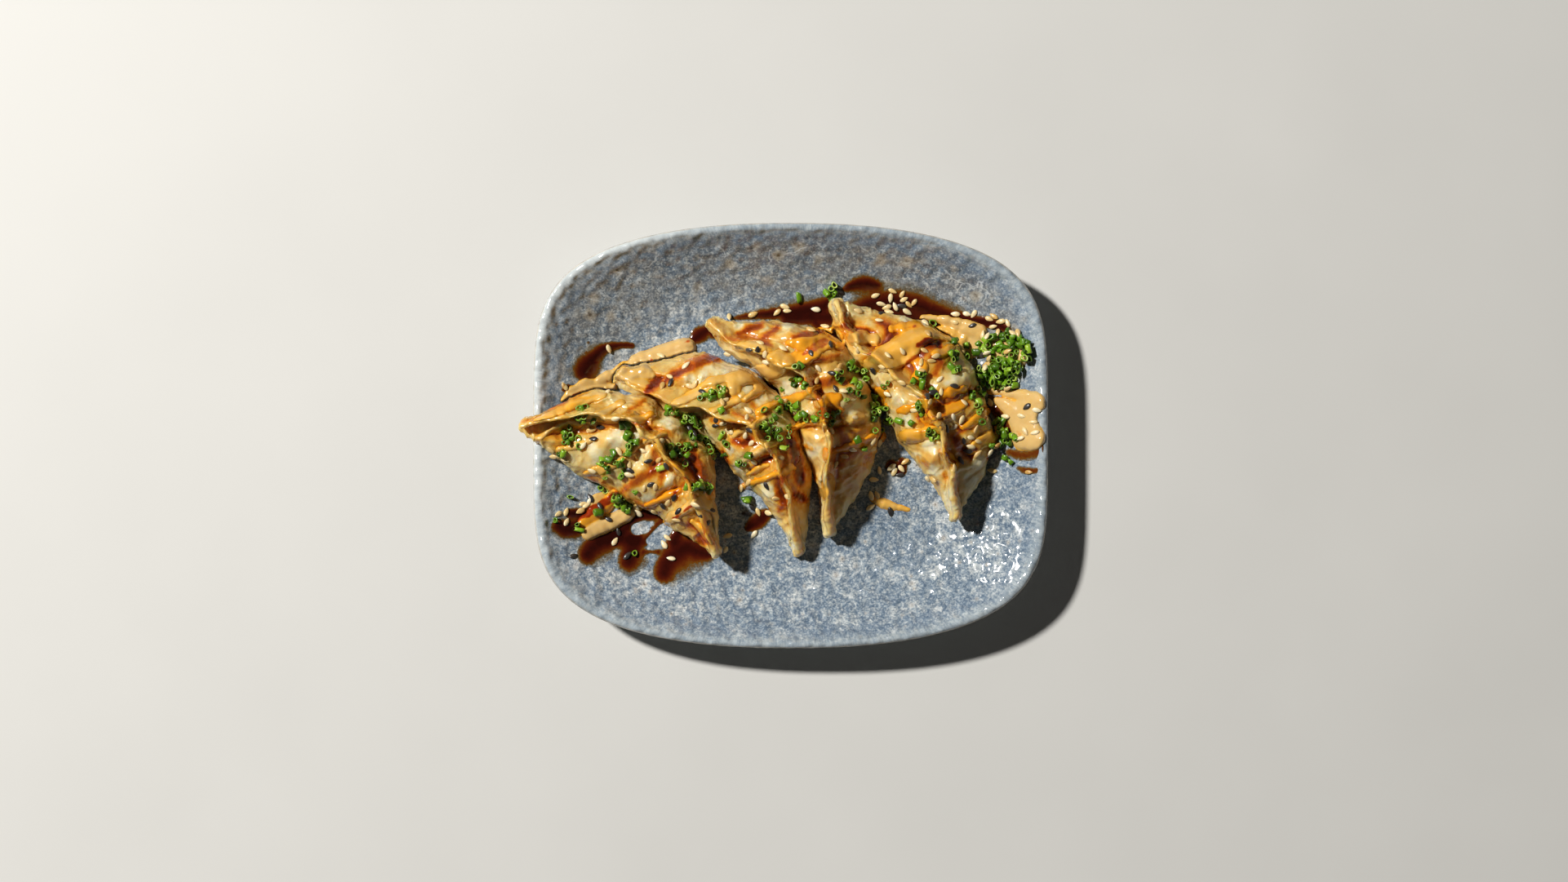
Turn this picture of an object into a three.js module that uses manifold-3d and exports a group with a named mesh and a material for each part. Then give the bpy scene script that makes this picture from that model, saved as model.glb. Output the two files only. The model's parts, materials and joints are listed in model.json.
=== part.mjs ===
// Four pan-fried gyoza lying side by side on a shallow glazed plate.
// Millimetres, +Z up. The plate's foot stands on z = 0.
import * as THREE from "three";
import { mergeVertices } from "three/addons/utils/BufferGeometryUtils.js";
import Module from "manifold-3d";

const wasm = await Module();
wasm.setup();

// ---------------------------------------------------------------- plate sizes
const PLATE_HALF_WIDTH = 85.3; // along X
const PLATE_HALF_DEPTH = 70.5; // along Y
const PLATE_POWER_X = 2.25; // bowed front and back edges
const PLATE_POWER_Y = 4.8; // nearly straight left and right edges
const PLATE_HEIGHT = 20.0; // top of the lip
const LIP_TOP_AT = 0.981; // where the lip is highest, as a share of the outline
const FLOOR_TOP = 5.4; // upper face of the flat middle
const FLOOR_AT = 0.54; // where the flat middle ends
const DISH_POWER = 1.9; // how the slope flattens out towards the middle
const FOOT_OUTER_AT = 0.62; // the foot ring
const FOOT_INNER_AT = 0.57;
const FOOT_RECESS = 1.4; // underside of the middle above the foot
const PLATE_SEGMENTS = 68;

// ------------------------------------------------------------- dumpling sizes
const FIN_HALF_THICKNESS = 1.25; // sealed double edge of the wrapper
const FIN_LENGTH = 8.0; // breadth of the sealed edge, from the filling to its rim
const PLEAT_COUNT = 6; // folds gathered into the sealed edge
const PLEAT_SWING = 0.9; // sideways zigzag of the sealed edge
const PLEAT_DEPTH = 1.3; // relief of the folds below the edge
const REST_GAP = 0.35; // clearance to the plate and to the next dumpling
const STATIONS = 34; // cross-sections from tip to tip
const BODY_POINTS = 7; // points up each side of the filled part

// A dumpling runs from tip a to tip b. Its half-breadths are measured square to
// that line at nine equal stations: the sealed edge (crest), the round side
// (outer) and the flat side (inner). top is the height of the sealed edge and
// base that of the underside, where it is lifted off the plate.
const DUMPLINGS = [
  {
    name: "gyoza_1",
    a: [-88.0, 3.2],
    b: [-24.9, -39.0],
    crest: [0, 9.8, 16.8, 20.6, 20.2, 17.8, 13.6, 6.8, 0],
    outer: [2.2, 19.6, 26.5, 31.0, 32.2, 31.2, 27.0, 14.5, 1.8],
    inner: [-2.6, -3.0, -4.8, -4.8, -4.0, -2.8, -2.0, -1.8, -1.6],
    top: [26.5, 29.5, 32.0, 34.0, 34.5, 33.5, 31.0, 26.0, 20.0],
    base: [21.4, 18.6, 12.6, 7.4, 5.4, 5.4, 5.4, 8.0, 12.5],
    lean: [1.5, 2.5, 3.0, 2.0, 1.0, 1.0, 1.5, 1.0, 0.3],
    phase: 0.3,
  },
  {
    name: "gyoza_2",
    a: [-57.4, 19.5],
    b: [2.6, -38.8],
    crest: [0, 3.0, 7.6, 13.4, 18.0, 17.6, 14.0, 7.6, 0],
    outer: [2.2, 21.5, 30.2, 33.2, 34.0, 32.6, 27.2, 16.6, 1.8],
    inner: [-2.4, -0.8, 1.6, 4.0, 4.0, 3.4, 3.6, 1.8, -1.6],
    top: [20.5, 25.0, 29.0, 32.0, 33.5, 32.5, 28.5, 20.5, 11.5],
    base: [13.5, 9.0, 5.4, 5.4, 5.4, 5.4, 5.4, 5.4, 5.4],
    lean: [3.0, 6.0, 7.0, 6.0, 3.5, 1.5, 0.5, 0.3, 0],
    phase: 1.7,
  },
  {
    name: "gyoza_3",
    a: [-26.7, 37.0],
    b: [13.2, -32.2],
    crest: [0, 3.4, 11.0, 16.8, 18.2, 15.6, 10.2, 4.6, 0],
    outer: [2.2, 19.4, 32.4, 35.6, 36.8, 35.4, 31.8, 21.6, 1.8],
    inner: [-2.4, -0.8, 4.6, 7.8, 7.2, 5.2, 4.4, 2.4, -1.6],
    top: [22.5, 27.0, 31.0, 34.0, 35.0, 33.5, 29.5, 22.0, 14.5],
    base: [15.5, 9.5, 5.4, 5.4, 5.4, 5.4, 5.4, 5.4, 7.5],
    lean: [2.0, 6.0, 6.5, 3.5, 1.0, 0.5, 0.3, 0, 0],
    phase: 0.9,
  },
  {
    name: "gyoza_4",
    a: [15.3, 43.9],
    b: [54.6, -26.9],
    crest: [0, -1.6, 0.4, 4.4, 8.0, 8.6, 6.8, 4.0, 0],
    outer: [2.0, 13.6, 25.0, 29.8, 30.0, 29.0, 27.2, 20.4, 1.8],
    inner: [-2.4, -4.6, -4.8, -4.2, -4.2, -3.8, -2.6, -1.2, -1.6],
    top: [19.5, 25.0, 29.5, 32.5, 34.0, 33.5, 31.0, 26.0, 20.0],
    base: [13.0, 8.0, 5.4, 5.4, 5.4, 5.4, 5.4, 8.0, 12.5],
    lean: [0.5, 1.5, 3.0, 3.5, 2.5, 1.5, 0.5, 0.3, 0],
    phase: 2.4,
  },
];

// ------------------------------------------------------------------- helpers
// Distance from the plate's centre to its outermost edge in direction t.
function edgeRadius(t) {
  const c = Math.abs(Math.cos(t)) / PLATE_HALF_WIDTH;
  const s = Math.abs(Math.sin(t)) / PLATE_HALF_DEPTH;
  let lo = 30,
    hi = 130;
  for (let i = 0; i < 50; i++) {
    const r = (lo + hi) / 2;
    if ((r * c) ** PLATE_POWER_X + (r * s) ** PLATE_POWER_Y < 1) lo = r;
    else hi = r;
  }
  return (lo + hi) / 2;
}

// Height of the dish at a share of the way from the centre to the edge.
function dishHeight(share) {
  const up = Math.min(Math.max((share - FLOOR_AT) / (LIP_TOP_AT - FLOOR_AT), 0), 1);
  return FLOOR_TOP + (PLATE_HEIGHT - FLOOR_TOP) * up ** DISH_POWER;
}

// Lowest height that keeps clear of the plate below a point. The clearance is
// wider over the lip, where the plate turns sharply.
function plateTop(x, y) {
  const share = Math.hypot(x, y) / edgeRadius(Math.atan2(y, x));
  if (share > 1.07) return -Infinity;
  return dishHeight(share) + 0.9 * Math.exp(-(((1 - share) / 0.07) ** 2));
}

// Smooth curve through equally spaced values, u from 0 to 1.
function along(values, u) {
  const n = values.length - 1;
  const k = Math.min(Math.floor(u * n), n - 1);
  const t = u * n - k;
  const at = (i) =>
    i < 0
      ? 2 * values[0] - values[1]
      : i > n
        ? 2 * values[n] - values[n - 1]
        : values[i];
  const [p, q, r, s] = [at(k - 1), at(k), at(k + 1), at(k + 2)];
  return (
    q +
    0.5 *
      t *
      (r - p + t * (2 * p - 5 * q + 4 * r - s + t * (3 * (q - r) + s - p)))
  );
}

function bezier(p, t) {
  const w = [(1 - t) ** 3, 3 * t * (1 - t) ** 2, 3 * t * t * (1 - t), t ** 3];
  return [0, 1].map((i) => w.reduce((sum, wk, k) => sum + wk * p[k][i], 0));
}

// Rings of equal length, joined into one closed surface with fans at both ends.
function closedLoft(rings, startPoint, endPoint) {
  const n = rings[0].length;
  const position = [startPoint, ...rings.flat(), endPoint].flat();
  const last = 1 + rings.length * n;
  const id = (i, j) => 1 + i * n + (j % n);
  const index = [];
  for (let j = 0; j < n; j++) {
    index.push(0, id(0, j + 1), id(0, j));
    index.push(last, id(rings.length - 1, j), id(rings.length - 1, j + 1));
  }
  for (let i = 0; i + 1 < rings.length; i++)
    for (let j = 0; j < n; j++) {
      const [a, b, c, d] = [id(i, j), id(i, j + 1), id(i + 1, j + 1), id(i + 1, j)];
      index.push(a, b, c, a, c, d);
    }
  const g = new THREE.BufferGeometry();
  g.setAttribute("position", new THREE.Float32BufferAttribute(position, 3));
  g.setIndex(index);
  return g;
}

function solidOf(geometry) {
  const g = geometry.clone();
  g.deleteAttribute("normal");
  g.deleteAttribute("uv");
  const merged = mergeVertices(g, 1e-4);
  return new wasm.Manifold(
    new wasm.Mesh({
      numProp: 3,
      vertProperties: new Float32Array(merged.attributes.position.array),
      triVerts: new Uint32Array(merged.index.array),
    }),
  );
}

function geometryOf(solid) {
  const m = solid.getMesh();
  const n = m.numProp;
  const position = new Float32Array(m.numVert * 3);
  for (let i = 0; i < m.numVert; i++)
    position.set(m.vertProperties.subarray(i * n, i * n + 3), i * 3);
  const g = new THREE.BufferGeometry();
  g.setAttribute("position", new THREE.BufferAttribute(position, 3));
  g.setIndex(new THREE.BufferAttribute(new Uint32Array(m.triVerts), 1));
  g.computeVertexNormals();
  return g;
}

// --------------------------------------------------------------------- plate
function plateGeometry() {
  // Share of the outline and height of each ring, from the middle of the dish
  // over the lip and round to the middle of the underside.
  const profile = [];
  for (const share of [0.3, FLOOR_AT, 0.6, 0.67, 0.735, 0.8, 0.855, 0.9, 0.94])
    profile.push([share, dishHeight(share)]);
  profile.push([0.967, PLATE_HEIGHT - 0.4]);
  profile.push([LIP_TOP_AT, PLATE_HEIGHT]);
  profile.push([0.993, PLATE_HEIGHT - 0.35]);
  profile.push([1, PLATE_HEIGHT - 1.4]);
  profile.push([0.996, PLATE_HEIGHT - 2.8]);
  for (const [share, z] of [
    [0.955, 13.8],
    [0.89, 9.4],
    [0.8, 5.9],
    [0.71, 3.2],
    [FOOT_OUTER_AT + 0.018, 1.8],
    [FOOT_OUTER_AT, 0],
    [FOOT_INNER_AT, 0],
    [FOOT_INNER_AT - 0.014, FOOT_RECESS],
    [0.3, FOOT_RECESS],
  ])
    profile.push([share, z]);
  const rings = profile.map(([share, z]) => {
    const ring = [];
    for (let k = 0; k < PLATE_SEGMENTS; k++) {
      const t = (-2 * Math.PI * k) / PLATE_SEGMENTS;
      const r = edgeRadius(t) * share;
      ring.push([r * Math.cos(t), r * Math.sin(t), z]);
    }
    return ring;
  });
  return closedLoft(rings, [0, 0, FLOOR_TOP], [0, 0, FOOT_RECESS]);
}

// ------------------------------------------------------------------ dumpling
// grow makes the same shape larger all round by that clearance.
function dumplingGeometry(d, grow = 0) {
  const [ax, ay] = d.a;
  const length = Math.hypot(d.b[0] - ax, d.b[1] - ay);
  const [ex, ey] = [(d.b[0] - ax) / length, (d.b[1] - ay) / length];
  const [nx, ny] = [-ey, ex]; // towards the round side
  const rings = [];
  for (let i = 0; i <= STATIONS; i++) {
    const even = i / STATIONS;
    const s = 0.55 * even + 0.45 * (0.5 - 0.5 * Math.cos(Math.PI * even));
    const belly = Math.sin(Math.PI * s) ** 0.6;
    const turn = 2 * Math.PI * PLEAT_COUNT * s + d.phase;
    const crest = along(d.crest, s) + PLEAT_SWING * belly * Math.sin(turn);
    const outer = along(d.outer, s) + grow;
    const inner = along(d.inner, s) - grow;
    const top = along(d.top, s) + 0.5 * belly * Math.cos(turn * 1.5) + grow;
    const base = Math.max(along(d.base, s) - grow, 0);
    const t = FIN_HALF_THICKNESS * (1 - 0.15 * belly) + grow;
    // The sealed edge leans: its foot, the neck, is behind its rim.
    const reachUp = Math.min(FIN_LENGTH, 0.5 * (top - base));
    const lean = Math.min(along(d.lean, s), 0.85 * reachUp);
    const rise = Math.sqrt(reachUp ** 2 - lean ** 2);
    const neck = [crest + lean, top - rise];
    const [cx, cz] = [rise / reachUp, lean / reachUp]; // across the edge
    // One side, from the underside up to the rim of the sealed edge.
    const side = (reach, sign) => {
      const span = Math.max(sign * (reach - neck[0]), t + 0.5);
      const joint = [neck[0] + sign * t * 1.25 * cx, neck[1] + sign * t * 1.25 * cz];
      const tall = joint[1] - base;
      const p = [
        [neck[0] + sign * span * 0.84, base],
        [neck[0] + sign * span * 1.14, base + 0.34 * tall],
        [neck[0] + sign * Math.max(span * 0.74, t * 1.3), base + 0.98 * tall],
        joint,
      ];
      const points = [[neck[0] + sign * span * 0.42, base]];
      for (let k = 0; k < BODY_POINTS; k++) {
        const v = k / (BODY_POINTS - 1);
        const [q, z] = bezier(p, v);
        // folds gathered below the sealed edge, deepest just under it
        const depth = PLEAT_DEPTH * belly * v * Math.sin(Math.PI * v * 0.62);
        const fold = Math.sin(turn * (sign > 0 ? 1 : 0.5) - 2.2 * v * sign);
        points.push([q + sign * depth * fold * Math.min(span / 8, 1), z]);
      }
      for (const [up, share] of [
        [0.55, 1],
        [0.96, 0.8],
      ])
        points.push([
          neck[0] - lean * up + sign * t * share * cx,
          neck[1] + rise * up + sign * t * share * cz,
        ]);
      return points;
    };
    const section = [
      [neck[0] + 0.1 * (outer + inner - 2 * neck[0]), base],
      ...side(outer, 1),
      [crest, top],
      ...side(inner, -1).reverse(),
    ];
    rings.push(
      section.map(([q, z]) => {
        const x = ax + ex * length * s + nx * q;
        const y = ay + ey * length * s + ny * q;
        return [x, y, Math.max(z, plateTop(x, y) + REST_GAP - grow)];
      }),
    );
  }
  const tip = (ring, out) => {
    const c = [0, 1, 2].map((k) => ring.reduce((sum, p) => sum + p[k], 0) / ring.length);
    return [c[0] + ex * out, c[1] + ey * out, c[2] + 0.6];
  };
  const g = closedLoft(rings, tip(rings[0], -1.2 - grow), tip(rings[STATIONS], 1.2 + grow));
  return g;
}

// ------------------------------------------------------------------ assembly
const glaze = new THREE.MeshStandardMaterial({ color: 0x9fb0c2, roughness: 0.22, metalness: 0 });
const dough = new THREE.MeshStandardMaterial({ color: 0xd9b06a, roughness: 0.42, metalness: 0 });

const group = new THREE.Group();
const plate = new THREE.Mesh(plateGeometry(), glaze);
plate.name = "plate";
plate.geometry.computeVertexNormals();
group.add(plate);

// Each dumpling rests against the one to its right, so it is trimmed clear of it.
DUMPLINGS.forEach((d, i) => {
  let solid = solidOf(dumplingGeometry(d));
  for (const next of DUMPLINGS.slice(i + 1))
    solid = solid.subtract(solidOf(dumplingGeometry(next, REST_GAP)));
  const pieces = solid.decompose().sort((p, q) => q.volume() - p.volume());
  const mesh = new THREE.Mesh(geometryOf(pieces[0]), dough.clone());
  mesh.name = d.name;
  group.add(mesh);
});

// The origin is the middle of the whole at the height of the foot.
const box = new THREE.Box3().setFromObject(group);
group.position.x = -(box.min.x + box.max.x) / 2;
group.position.y = -(box.min.y + box.max.y) / 2;

export default group;
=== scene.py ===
import math, json
import bpy
import numpy as np
from mathutils import Vector, Matrix
from mathutils.bvhtree import BVHTree

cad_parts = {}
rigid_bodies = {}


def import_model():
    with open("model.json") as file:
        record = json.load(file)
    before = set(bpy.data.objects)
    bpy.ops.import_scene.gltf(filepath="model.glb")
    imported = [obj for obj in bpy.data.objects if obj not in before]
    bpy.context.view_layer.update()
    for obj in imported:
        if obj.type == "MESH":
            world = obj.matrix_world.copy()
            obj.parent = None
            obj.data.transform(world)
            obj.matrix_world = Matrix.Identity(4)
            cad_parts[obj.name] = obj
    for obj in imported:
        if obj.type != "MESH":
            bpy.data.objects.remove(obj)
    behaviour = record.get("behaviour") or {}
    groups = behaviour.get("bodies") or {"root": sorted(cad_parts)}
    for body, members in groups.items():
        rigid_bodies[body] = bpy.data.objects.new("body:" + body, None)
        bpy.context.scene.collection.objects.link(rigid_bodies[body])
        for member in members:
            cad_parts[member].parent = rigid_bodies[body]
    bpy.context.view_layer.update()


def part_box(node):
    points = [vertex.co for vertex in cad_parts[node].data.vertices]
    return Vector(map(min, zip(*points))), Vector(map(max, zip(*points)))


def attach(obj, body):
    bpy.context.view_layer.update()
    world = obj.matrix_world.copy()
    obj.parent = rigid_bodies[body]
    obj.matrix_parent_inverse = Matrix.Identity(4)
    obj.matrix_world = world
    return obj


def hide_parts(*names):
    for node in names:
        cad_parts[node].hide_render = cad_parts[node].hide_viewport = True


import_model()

# ------------------------------------------------------------------ sizes (mm)
lo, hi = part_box("plate")
PCX, PCY = 500.0 * (lo.x + hi.x), 500.0 * (lo.y + hi.y)  # middle of the plate
HW, HD, PX, PY = 85.3, 70.5, 2.25, 4.8
RIM = 20.0
LIP_AT, FLOOR_TOP, FLOOR_AT, DISH_POWER = 0.981, 5.4, 0.54, 1.9
FOOT_OUT, FOOT_IN, RECESS = 0.62, 0.57, 1.4

# camera: straight above, 900 mm over the lip
CAM_D = 900.0
MM_PX = 0.27
CAM_X, CAM_Y = -2.19, -1.81
CX, CY = 968.6, 533.8
IMG_W = 1921.0


def world_xy(px, py, z):
    """Row-frame millimetres of a picture point at height z."""
    k = (CAM_D + RIM - z) / CAM_D
    x = (np.asarray(px, float) - CX) * MM_PX
    y = (CY - np.asarray(py, float)) * MM_PX
    return PCX + CAM_X + (x - CAM_X) * k, PCY + CAM_Y + (y - CAM_Y) * k


# Enlarged working windows: x0, y0, scale. wpt(name, x, y) gives picture points.
WIN = {
    "a": (630, 455, 5.5), "b": (745, 415, 5.0), "c": (855, 375, 5.0), "d": (1005, 355, 5.0),
    "r": (1140, 370, 5.5), "t": (850, 320, 3.2), "l": (660, 370, 5.5), "p": (0, 0, 1.0), "q": (640, 560, 5.0), "u": (870, 325, 3.2),
    "v": (640, 395, 6.0), "w": (760, 380, 6.0),
}


def wpt(win, x, y):
    x0, y0, s = WIN[win]
    return x0 + x / s, y0 + y / s


def edge_radius(t):
    t = np.asarray(t, float)
    c, s = np.abs(np.cos(t)) / HW, np.abs(np.sin(t)) / HD
    a, b = np.full(t.shape, 30.0), np.full(t.shape, 130.0)
    for _ in range(40):
        m = (a + b) / 2
        inside = (m * c) ** PX + (m * s) ** PY < 1
        a, b = np.where(inside, m, a), np.where(inside, b, m)
    return (a + b) / 2


_t = np.linspace(-np.pi, np.pi, 1441)
_r = edge_radius(_t)


def share_of(x, y):
    x, y = np.asarray(x, float) - PCX, np.asarray(y, float) - PCY
    return np.hypot(x, y) / np.interp(np.arctan2(y, x), _t, _r)


def dish_height(share):
    up = np.clip((share - FLOOR_AT) / (LIP_AT - FLOOR_AT), 0, 1)
    return FLOOR_TOP + (RIM - FLOOR_TOP) * up**DISH_POWER


# ------------------------------------------------------------------ numpy noise
def _rand(ix, iy, iz, seed):
    h = (ix * 374761393 + iy * 668265263 + iz * 2147483629 + seed * 1274126177) & 0xFFFFFFFF
    h = ((h ^ (h >> 13)) * 1274126177) & 0xFFFFFFFF
    h = ((h ^ (h >> 16)) * 2246822519) & 0xFFFFFFFF
    return (h ^ (h >> 15)) & 0xFFFFFFFF


def gnoise(P, size, seed=0):
    """Gradient noise, about -1 to 1, with features of the given size."""
    q = np.asarray(P, float) / size
    i = np.floor(q).astype(np.int64)
    f = q - i
    u = f * f * f * (f * (f * 6 - 15) + 10)
    total = 0.0
    for dx in (0, 1):
        wx = u[..., 0] if dx else 1 - u[..., 0]
        for dy in (0, 1):
            wy = u[..., 1] if dy else 1 - u[..., 1]
            for dz in (0, 1):
                wz = u[..., 2] if dz else 1 - u[..., 2]
                h = _rand(i[..., 0] + dx, i[..., 1] + dy, i[..., 2] + dz, seed)
                a = (h & 0xFFFF) / 65536.0 * 2 * np.pi
                c = ((h >> 16) & 0xFFFF) / 32768.0 - 1
                s = np.sqrt(np.maximum(0, 1 - c * c))
                g = (f[..., 0] - dx) * s * np.cos(a) + (f[..., 1] - dy) * s * np.sin(a) + (f[..., 2] - dz) * c
                total = total + wx * wy * wz * g
    return total * 1.6


def fbm(P, size, octaves=3, seed=0):
    out, amp, tot = 0.0, 1.0, 0.0
    for k in range(octaves):
        out = out + amp * gnoise(P, size / 2**k, seed + 17 * k)
        tot += amp
        amp *= 0.5
    return out / tot


def sstep(a, b, x):
    t = np.clip((x - a) / (b - a), 0, 1)
    return t * t * (3 - 2 * t)


def seg_field(X, Y, pts):
    """Distance to a poly-line and the radius along it. pts: rows of x, y, r (mm)."""
    best = np.full(X.shape, 1e9)
    rad = np.full(X.shape, 1.0)
    side = np.zeros(X.shape)
    par = np.zeros(X.shape)
    pts = np.asarray(pts, float)
    if len(pts) == 1:
        d = np.hypot(X - pts[0, 0], Y - pts[0, 1])
        return d - 0, np.full(X.shape, pts[0, 2]), side, par
    n = len(pts) - 1
    for k in range(n):
        ax, ay, ar = pts[k]
        bx, by, br = pts[k + 1]
        ex, ey = bx - ax, by - ay
        L2 = ex * ex + ey * ey + 1e-9
        t = np.clip(((X - ax) * ex + (Y - ay) * ey) / L2, 0, 1)
        dx, dy = X - ax - t * ex, Y - ay - t * ey
        d = np.hypot(dx, dy)
        r = ar + (br - ar) * t
        m = (d - r) < (best - rad)
        best = np.where(m, d, best)
        rad = np.where(m, r, rad)
        side = np.where(m, np.sign(ex * dy - ey * dx), side)
        par = np.where(m, (k + t) / n, par)
    return best, rad, side, par


def spline(pts, per=6):
    """Rounds a poly-line: Catmull-Rom through its points."""
    P = np.asarray(pts, float)
    if len(P) < 3:
        return P
    E = np.vstack([2 * P[0] - P[1], P, 2 * P[-1] - P[-2]])
    out = []
    for k in range(len(P) - 1):
        p, q, r, s = E[k], E[k + 1], E[k + 2], E[k + 3]
        for t in np.arange(per) / per:
            out.append(q + 0.5 * t * (r - p + t * (2 * p - 5 * q + 4 * r - s + t * (3 * (q - r) + s - p))))
    out.append(P[-1])
    return np.array(out)


def path_mm(win, pts, z, r_scale=None):
    """Window points with radii in window units to row-frame millimetres."""
    s = WIN[win][2]
    rows = []
    for p in pts:
        x, y = wpt(win, p[0], p[1])
        r = p[2] if len(p) > 2 else 1.0
        X, Y = world_xy(x, y, z)
        rows.append((float(X), float(Y), r / s * MM_PX))
    return spline(rows)


# ------------------------------------------------------------------ mesh making
def make_object(name, verts_mm, faces, material=None, smooth=True, attrs=None):
    me = bpy.data.meshes.new(name)
    V = np.asarray(verts_mm, np.float64) * 0.001
    faces = np.asarray(faces, np.int64)
    n, k = faces.shape
    me.vertices.add(len(V))
    me.vertices.foreach_set("co", V.astype(np.float32).ravel())
    me.loops.add(n * k)
    me.loops.foreach_set("vertex_index", faces.astype(np.int32).ravel())
    me.polygons.add(n)
    me.polygons.foreach_set("loop_start", (np.arange(n) * k).astype(np.int32))
    me.polygons.foreach_set("loop_total", np.full(n, k, np.int32))
    me.update(calc_edges=True)
    me.validate()
    if smooth:
        me.polygons.foreach_set("use_smooth", np.ones(len(me.polygons), bool))
    for key, val in (attrs or {}).items():
        val = np.asarray(val, np.float32)
        if val.ndim == 1:
            a = me.attributes.new(key, "FLOAT", "POINT")
            a.data.foreach_set("value", val)
        else:
            a = me.attributes.new(key, "FLOAT_VECTOR", "POINT")
            a.data.foreach_set("vector", val.ravel())
    ob = bpy.data.objects.new(name, me)
    bpy.context.scene.collection.objects.link(ob)
    if material:
        me.materials.append(material)
    return ob


def quad_normals(V, F):
    a, b, c, d = V[F[:, 0]], V[F[:, 1]], V[F[:, 2]], V[F[:, 3]]
    fn = np.cross(c - a, d - b)
    N = np.zeros_like(V)
    for k in range(4):
        np.add.at(N, F[:, k], fn)
    return N / (np.linalg.norm(N, axis=1, keepdims=True) + 1e-12)


def grid_faces(nr, nc, wrap):
    i = np.arange(nr - 1)[:, None]
    j = np.arange(nc if wrap else nc - 1)[None, :]
    j2 = (j + 1) % nc
    return np.stack([i * nc + j, i * nc + j2, (i + 1) * nc + j2, (i + 1) * nc + j], -1).reshape(-1, 4)


# ---------------------------------------------------------------------- plate
def build_plate():
    up = []
    for s in np.linspace(0.012, 0.955, 96):
        up.append((s, float(dish_height(s))))
    lip = [(0.967, RIM - 0.42), (0.974, RIM - 0.12), (LIP_AT, RIM), (0.988, RIM - 0.1), (0.993, RIM - 0.35),
           (0.9975, RIM - 0.85), (1.0, RIM - 1.5), (0.9995, RIM - 2.1), (0.996, RIM - 2.8)]
    under = [(0.955, 13.8), (0.89, 9.4), (0.8, 5.9), (0.71, 3.2), (0.638, 1.8)]
    under = spline([(0.996, RIM - 2.8)] + under, 5)[1:]
    foot = [(0.626, 1.2), (0.622, 0.35), (0.617, 0.03), (0.612, 0.0), (0.58, 0.0), (0.573, 0.05), (0.569, 0.4),
            (0.560, 1.25), (0.55, 1.4), (0.45, 1.4), (0.3, 1.4), (0.15, 1.4), (0.012, 1.4)]
    prof = up + lip + [tuple(p) for p in under] + foot
    NT = 384
    t = np.arange(NT) * 2 * np.pi / NT
    R = edge_radius(t)
    V = []
    share = []
    for s, z in prof:
        r = R * s
        V.append(np.stack([PCX + r * np.cos(t), PCY + r * np.sin(t), np.full(NT, z)], 1))
        share.append(np.full(NT, s))
    V = np.array(V)
    nup = len(up)
    # thrown clay and pooled glaze are never quite flat
    for k in range(nup):
        s = prof[k][0]
        w = 1 - sstep(0.93, 0.965, s)
        P = V[k].copy()
        V[k, :, 2] += w * (0.07 * gnoise(P * [1, 1, 0], 5.2, 3) + 0.10 * gnoise(P * [1, 1, 0], 16.0, 5))
    side = np.zeros(V.shape[:2])
    side[nup + 9 :] = 1.0
    nr = len(prof)
    F = grid_faces(nr, NT, True)
    V = V.reshape(-1, 3)
    c0, c1 = len(V), len(V) + 1
    V = np.vstack([V, [[PCX, PCY, FLOOR_TOP], [PCX, PCY, RECESS]]])
    F = F[:, ::1]
    j = np.arange(NT)
    cap0 = np.stack([np.full(NT, c0), j, (j + 1) % NT, (j + 1) % NT], 1)
    base = (nr - 1) * NT
    cap1 = np.stack([np.full(NT, c1), base + (j + 1) % NT, base + j, base + j], 1)
    sh = np.concatenate([np.array(share).ravel(), [0, 0]])
    arc = np.concatenate([np.tile(t, nr), [0, 0]])
    und = np.concatenate([side.ravel(), [0, 1]])
    me_faces = F
    ob = make_object("plate_glazed", V, me_faces, None, True,
                     {"share": sh, "cosa": np.cos(arc), "sina": np.sin(arc), "under": und})
    # centre fans as triangles
    import bmesh
    bm = bmesh.new()
    bm.from_mesh(ob.data)
    bm.verts.ensure_lookup_table()
    for q in np.vstack([cap0, cap1]):
        f = bm.faces.new([bm.verts[int(q[0])], bm.verts[int(q[1])], bm.verts[int(q[2])]])
        f.smooth = True
    bmesh.ops.recalc_face_normals(bm, faces=bm.faces)
    bm.to_mesh(ob.data)
    bm.free()
    return ob


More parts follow.
